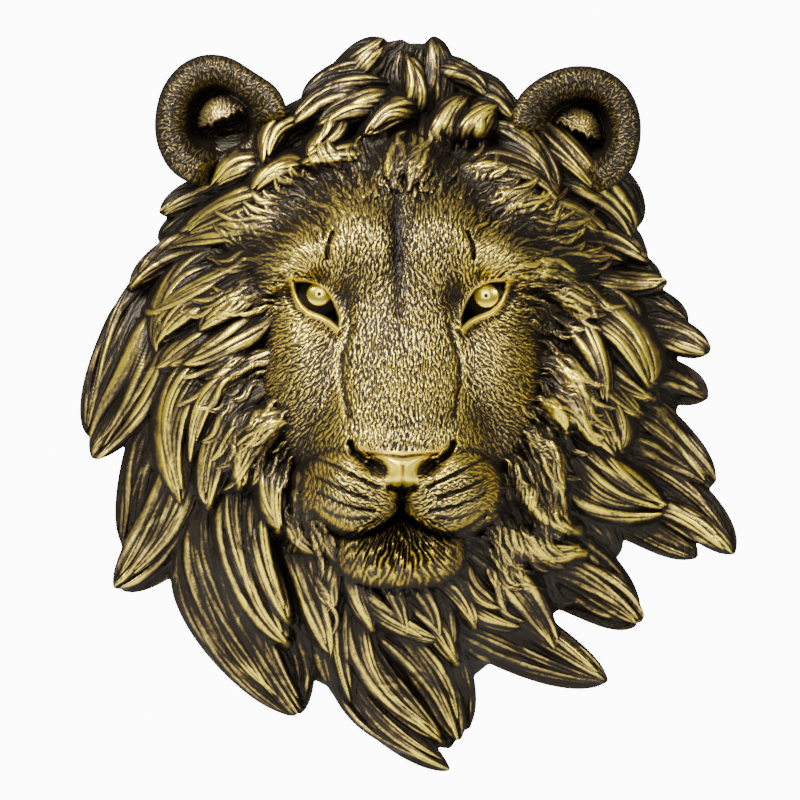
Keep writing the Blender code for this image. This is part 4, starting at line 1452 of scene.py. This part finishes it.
@dataclass
class Ear:
    """A round ear: a cup with a broad rolled rim of short fur, and a fan of hair hanging over the hollow.

    Roll is the cup's section, as distance from the middle on a round ear and height over its depth.
    """

    middle: Point
    name: str
    seed: int
    outline: tuple[Point, ...]
    pitch: float = 0.42
    back: float = 18.0
    walls: tuple[Point, ...] = ((0.4, 0.15), (3.0, 0.55), (10.0, 1.0))
    turned_out: float = 0.25
    leant_back: float = 0.10
    roll: tuple[Point, ...] = (
        (0.0, -22.0),
        (9.0, -19.0),
        (14.0, -10.0),
        (17.0, 0.0),
        (20.0, 5.5),
        (24.0, 7.5),
        (28.0, 6.5),
        (30.0, 3.5),
        (31.0, 0.0),
        (33.0, -8.0),
    )

    def bare(self, x: Array, z: Array) -> tuple[Array, Array]:
        """The cup without its hair.

        Args:
            x: Places across.
            z: Places up.

        Returns:
            Its depth off the wall: the roll's section by distance from the middle, sunk where the rim
            runs into the mane, and tilted; and how far inside its outline each place is.
        """
        dx, dz = x - self.middle[0], z - self.middle[1]
        radius, angle = np.hypot(dx, dz), np.arctan2(dz, dx)
        outwards = math.copysign(1.0, self.middle[0])
        turns, radii = np.array(self.outline).T
        steps = (-12.0, -6.0, 0.0, 6.0, 12.0)
        degrees = np.degrees(angle)
        rim = sum(np.interp(degrees + step, turns, radii, period=360.0) for step in steps) / len(steps)
        height = np.interp(radius / rim * EAR_RADIUS, *np.array(self.roll).T)
        head = np.clip(-0.6 * outwards * np.cos(angle) - 0.8 * np.sin(angle), 0.0, 1.0)
        height = height - 25.0 * eased(head, 0.45, 0.85) * np.clip(radius / 16.0 - 0.6, 0.0, 1.0)
        tilt = self.turned_out * outwards * dx + self.leant_back * dz
        return EAR_DEPTH + height - tilt, rim - radius

    def shell(self, across: Array, up: Array) -> tuple[Array, Array]:
        """The fan of strands over the upper half of the hollow.

        Args:
            across: How far outwards from the ear's middle each place is.
            up: How far above it.

        Returns:
            Its height, half a flattened sphere with a ragged lower edge, and far below the cup outside
            it; and the strands' backs, which fan out from the middle of that edge.
        """
        u, v = (across + 2.5) / 14.0, (up + 1.5) / 15.0
        out = np.minimum(np.hypot(u, v), 1.0)
        backs = strand(8.5 * np.arctan2(v + 0.6, u + 0.25) - 0.8 * out + 0.3 * np.sin(7.0 * u + 3.0 * v))
        ragged = 0.05 * np.sin(11.0 * u) + 0.05 * np.sin(23.0 * u + 1.0) - 0.4 * u
        present = (v > 0.15 + ragged - 0.06 * backs) & (out < 1.0)
        height = -13.0 + 11.0 * np.sqrt(1.0 - out**2) + 0.45 * backs * (1.0 - out**4)
        return np.where(present, height, -60.0), backs

    def build(self) -> bpy.types.Object:
        """Carves the ear as a small relief of its own and makes it a closed solid."""
        reach = EAR_RADIUS + 8.0
        low = (self.middle[0] - reach, self.middle[1] - reach)
        high = (self.middle[0] + reach, self.middle[1] + reach)
        r = Relief(low, high, self.pitch, self.seed)
        bare, r.inside = self.bare(r.x, r.z)
        r.inside = r.blurred(r.inside, 0.7)
        dx, dz = r.x - self.middle[0], r.z - self.middle[1]
        outwards = math.copysign(1.0, self.middle[0])
        shell, backs = self.shell(outwards * dx, dz)
        shell = EAR_DEPTH + shell - self.turned_out * outwards * dx
        on_shell = (shell > bare).astype(float)
        r.depth = r.blurred(np.maximum(bare, shell), 0.45)
        guides = np.stack([r.x, r.z, dx, dz], axis=-1)[::12, ::12].reshape(-1, 4)
        r.lay_flow(guides[np.hypot(guides[:, 2], guides[:, 3]) > 3.0])
        sway = 0.5 * r.grain(0.9)
        r.turn_flow(sway)
        fur = r.combed(r.grain(0.17), 0.9, 5)
        fur = fur - 0.9 * r.blurred(fur, 0.8)
        fur = np.tanh(1.5 * (fur / fur.std() - 0.25))
        r.depth = r.depth + (0.34 - 0.1 * on_shell) * fur
        gilt = 0.4 * np.clip(r.rise(0.7), -0.4, 0.4) - 0.035 + 0.06 * np.clip(r.rise(2.5), -1.5, 1.2)
        gilt = gilt + 0.05 * np.clip(r.rise(8.0), -9.0, 2.0) + 0.04 * r.grain(0.5)
        gilt = gilt + 0.22 * fur * (1.0 - 0.6 * on_shell) + 0.2 * np.exp(-(((r.inside - 1.5) / 3.0) ** 2))
        rubbed = spot(outwards * dx, dz, (2.5, 6.0), (8.0, 8.0))
        gilt = gilt + on_shell * (0.04 + 0.2 * (backs - 0.5) + 0.42 * rubbed)
        hollow = eased(0.5 - np.hypot(dx, dz) / EAR_RADIUS, 0.0, 0.12) * (1.0 - on_shell)
        r.gilt = np.clip(gilt * (1.0 - hollow), 0.0, 1.0)
        return slab(self.name, r, r.middles(r.inside) > 0.0, self.walls, self.back)


@dataclass
class Eyeball:
    """The ball behind the lids, with a raised iris. The pupil is only a dark spot in its gilding."""

    middle: Point
    name: str
    eye: Eye
    socket: float
    rings: int = 56
    around: int = 96
    thickness: float = 8.0

    def build(self) -> bpy.types.Object:
        """A lens on a grid of radius and angle: a sphere's cap, a raised iris on it, and a flat back."""
        rings, around = self.rings, self.around
        radius = np.linspace(0.0, self.eye.ball_radius, rings)[:, None]
        angle = np.linspace(0.0, 2.0 * np.pi, around, endpoint=False)[None, :]
        bulge = np.sqrt(self.eye.ball_sphere**2 - radius**2) - self.eye.ball_sunk
        iris = eased(-radius, -self.eye.iris_radius - 0.25, -self.eye.iris_radius + 0.5)
        dome = 1.1 * iris * np.sqrt(np.clip(1.1 - (radius / self.eye.iris_radius) ** 2, 0.0, 1.0))
        pupil = 0.9 * eased(-radius, -self.eye.pupil_radius - 0.6, -self.eye.pupil_radius + 0.3)
        pupil = pupil + 0.12 * np.exp(-(((radius - 0.62 * self.eye.iris_radius) / 0.7) ** 2))
        depth = self.socket + bulge + dome + 0.3 * iris
        x = self.middle[0] + radius * np.cos(angle)
        z = self.middle[1] + radius * np.sin(angle)
        front = placed(x, z, depth + 0.0 * angle)
        gilt = np.clip(0.04 + 0.92 * iris - 0.9 * pupil + 0.0 * angle, 0.0, 1.0)
        back = placed(x[-1], z[-1], np.full(around, self.socket - self.thickness))
        points = np.concatenate([front[0, :1], front[1:].reshape(-1, 3), back])
        values = np.concatenate([gilt[0, :1], gilt[1:].ravel(), np.full(around, 0.1)])
        turn = np.arange(around)
        after = (turn + 1) % around
        rows = np.arange(rings - 1)[:, None]
        inner, outer = 1 + rows * around, 1 + (rows + 1) * around
        quads = np.stack([inner + turn, outer + turn, outer + after, inner + after], axis=-1).reshape(-1, 4)
        fan = np.stack([np.zeros(around, int), 1 + turn, 1 + after], axis=-1)
        mesh = bpy.data.meshes.new(self.name)
        base = 1 + (rings - 1) * around
        mesh.from_pydata(points, [], fan.tolist() + quads.tolist() + [(base + turn)[::-1].tolist()])
        mesh.attributes.new("gilt", "FLOAT", "POINT").data.foreach_set("value", values.astype(np.float32))
        mesh.polygons.foreach_set("use_smooth", np.ones(len(mesh.polygons), bool))
        mesh.set_sharp_from_angle(angle=math.radians(70.0))
        return linked(self.name, mesh)


def set_inputs(node: bpy.types.Node, values: dict[str, float | tuple[float, ...]]) -> None:
    """Sets some of a node's own sockets, by name."""
    for name, value in values.items():
        node.inputs[name].default_value = value


@dataclass(frozen=True)
class AntiqueGold:
    """Black casting resin with gold wax rubbed over what stands proud.

    The four colours follow each other as the gilding rises.
    """

    name: str
    sheen: Sheen = Sheen.RUBBED
    resin: tuple[float, float, float] = (0.006, 0.0045, 0.003)
    brown: tuple[float, float, float] = (0.082, 0.057, 0.023)
    gold: tuple[float, float, float] = (0.37, 0.28, 0.085)
    pale: tuple[float, float, float] = (1.0, 0.80, 0.07)

    def material(self) -> bpy.types.Material:
        """Colour from the gilding attribute, broken up by speckles; roughness and metal follow the gold."""
        made = bpy.data.materials.new(self.name)
        made.use_nodes = True
        nodes, links = made.node_tree.nodes, made.node_tree.links
        shader = nodes["Principled BSDF"]
        set_inputs(shader, {"Specular IOR Level": 0.22, "Specular Tint": (1.0, 0.86, 0.66, 1.0)})
        gilt = nodes.new("ShaderNodeAttribute")
        gilt.attribute_name = "gilt"
        place = nodes.new("ShaderNodeTexCoord")

        def noise(scale: float, detail: float) -> bpy.types.NodeSocket:
            """Noise of this scale over the piece's own coordinates."""
            node = nodes.new("ShaderNodeTexNoise")
            set_inputs(node, {"Scale": scale, "Detail": detail})
            links.new(place.outputs["Object"], node.inputs["Vector"])
            return node.outputs["Fac"]

        def speckled(
            values: bpy.types.NodeSocket, grain: bpy.types.NodeSocket, share: float
        ) -> bpy.types.NodeSocket:
            """The values with grain in them: values + share (grain - 0.5)."""
            less = nodes.new("ShaderNodeMath")
            less.operation = "SUBTRACT"
            less.inputs[1].default_value = 0.5
            links.new(grain, less.inputs[0])
            node = nodes.new("ShaderNodeMath")
            node.operation = "MULTIPLY_ADD"
            node.inputs[1].default_value = share
            links.new(less.outputs[0], node.inputs[0])
            links.new(values, node.inputs[2])
            return node.outputs[0]

        rubbed = self.sheen is Sheen.RUBBED
        worn = speckled(gilt.outputs["Fac"], noise(1100.0, 2.0), 0.28 if rubbed else 0.08)
        worn = speckled(worn, noise(90.0, 3.0), 0.16)
        ramp = nodes.new("ShaderNodeValToRGB")
        stops = ramp.color_ramp.elements
        stops[0].position, stops[0].color = 0.16, (*self.resin, 1.0)
        stops[1].position, stops[1].color = 0.92, (*self.pale, 1.0)
        for position, colour in ((0.36, self.brown), (0.64, self.gold)):
            stops.new(position).color = (*colour, 1.0)
        links.new(worn, ramp.inputs["Fac"])
        links.new(ramp.outputs["Color"], shader.inputs["Base Color"])
        metal = nodes.new("ShaderNodeMapRange")
        set_inputs(metal, {"From Min": 0.2, "From Max": 0.5, "To Max": 0.92})
        links.new(worn, metal.inputs["Value"])
        links.new(metal.outputs["Result"], shader.inputs["Metallic"])
        rough = nodes.new("ShaderNodeMapRange")
        set_inputs(rough, {"To Min": 0.42, "To Max": 0.34 if rubbed else 0.2})
        links.new(worn, rough.inputs["Value"])
        links.new(rough.outputs["Result"], shader.inputs["Roughness"])
        bump = nodes.new("ShaderNodeBump")
        set_inputs(bump, {"Strength": 0.35 if rubbed else 0.12, "Distance": 0.0004})
        links.new(noise(1400.0, 3.0), bump.inputs["Height"])
        links.new(bump.outputs["Normal"], shader.inputs["Normal"])
        return made


@dataclass
class Studio:
    """A pale floor, soft lights, a white surround and the camera straight in front, in metres."""

    camera_distance: float = 1.5
    lens: float = 135.0
    sensor: float = 36.0
    floor_height: float = -0.25

    def floor(self) -> bpy.types.Object:
        """A small plain slab below the mask."""
        mesh = bpy.data.meshes.new("floor")
        bm = bmesh.new()
        bmesh.ops.create_cube(bm, size=1.0)
        bmesh.ops.scale(bm, vec=(1.6, 0.85, 0.02), verts=bm.verts)
        bmesh.ops.translate(bm, vec=(0.0, -0.14, self.floor_height - 0.01), verts=bm.verts)
        bmesh.ops.bevel(bm, geom=bm.edges, offset=0.004, segments=3, affect="EDGES")
        bm.to_mesh(mesh)
        bm.free()
        paint = bpy.data.materials.new("pale_floor")
        paint.use_nodes = True
        shader = paint.node_tree.nodes["Principled BSDF"]
        set_inputs(shader, {"Base Color": (0.82, 0.82, 0.80, 1.0), "Roughness": 0.7})
        mesh.materials.append(paint)
        return linked("floor", mesh)

    def light(self, name: str, place: tuple[float, float, float], size: float, watts: float) -> None:
        """Sets a square area light that is aimed at the middle of the mask.

        Args:
            name: Its name.
            place: Where it stands.
            size: The length of its side.
            watts: Its power.
        """
        lamp = bpy.data.lights.new(name, "AREA")
        lamp.shape = "SQUARE"
        lamp.size = size
        lamp.energy = watts
        holder = linked(name, lamp)
        holder.location = place
        aim = Vector((0.0, -0.06, 0.0)) - Vector(place)
        holder.rotation_euler = aim.to_track_quat("-Z", "Y").to_euler()

    def surround(self) -> None:
        """Sets a world that is white to the camera and only a dim light to everything else."""
        world = bpy.data.worlds.new("surround")
        world.use_nodes = True
        nodes, links = world.node_tree.nodes, world.node_tree.links
        nodes.clear()
        seen, lit = nodes.new("ShaderNodeBackground"), nodes.new("ShaderNodeBackground")
        set_inputs(seen, {"Color": (1.0, 1.0, 1.0, 1.0), "Strength": 12.0})
        set_inputs(lit, {"Color": (1.0, 1.0, 1.0, 1.0), "Strength": 0.22})
        rays, mix = nodes.new("ShaderNodeLightPath"), nodes.new("ShaderNodeMixShader")
        output = nodes.new("ShaderNodeOutputWorld")
        links.new(rays.outputs["Is Camera Ray"], mix.inputs["Fac"])
        links.new(lit.outputs[0], mix.inputs[1])
        links.new(seen.outputs[0], mix.inputs[2])
        links.new(mix.outputs[0], output.inputs["Surface"])
        bpy.context.scene.world = world

    def camera(self) -> None:
        """Sets the camera straight in front of the origin, level with it."""
        data = bpy.data.cameras.new("camera")
        data.lens = self.lens
        data.sensor_width = self.sensor
        holder = linked("camera", data)
        holder.location = (0.0, -self.camera_distance, 0.0)
        holder.rotation_euler = (0.5 * math.pi, 0.0, 0.0)
        bpy.context.scene.camera = holder

    def build(self) -> None:
        """Sets up floor, lights, surround and camera."""
        self.floor()
        self.light("key_upper_left", (-0.75, -1.0, 0.85), 0.5, 58.0)
        self.light("fill_upper_right", (0.9, -0.9, 0.6), 0.6, 14.0)
        self.light("front", (0.0, -1.6, 0.3), 0.7, 9.0)
        self.surround()
        self.camera()


def dress(piece: bpy.types.Object, material: bpy.types.Material) -> None:
    """Gives a finished piece its material and says what it stands for."""
    piece.data.materials.append(material)
    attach(piece, BODY)
    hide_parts(NODE)


def main() -> None:
    """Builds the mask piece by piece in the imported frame."""
    logging.basicConfig(level=logging.INFO, format="%(message)s")
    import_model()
    rubbed = AntiqueGold("rubbed_antique_gold").material()
    polished = AntiqueGold("polished_gold", Sheen.POLISHED).material()

    mask = Mask()
    for piece in mask.build():
        dress(piece, rubbed)
    left, right = EAR_MIDDLES
    for ear in (Ear(left, "ear_left", 11, LEFT_EAR), Ear(right, "ear_right", 12, RIGHT_EAR)):
        piece = ear.build()
        dress(piece, rubbed)
        LOG.info("%s: %d faces", ear.name, len(piece.data.polygons))
    for middle, name in zip(IRIS_MIDDLES, ("eye_left", "eye_right")):
        under_x, under_z = np.array([math.copysign(UNDER_EYE[0], middle[0])]), np.array([UNDER_EYE[1]])
        socket = float(mask.relief.depth[mask.relief.cells_at(under_x, under_z)][0]) - SOCKET_DEPTH
        piece = Eyeball(middle, name, mask.face.eye, socket).build()
        dress(piece, polished)
        LOG.info("%s: %d faces, socket at %.1f mm", name, len(piece.data.polygons), socket)
    Studio().build()


if __name__ == "__main__":
    main()
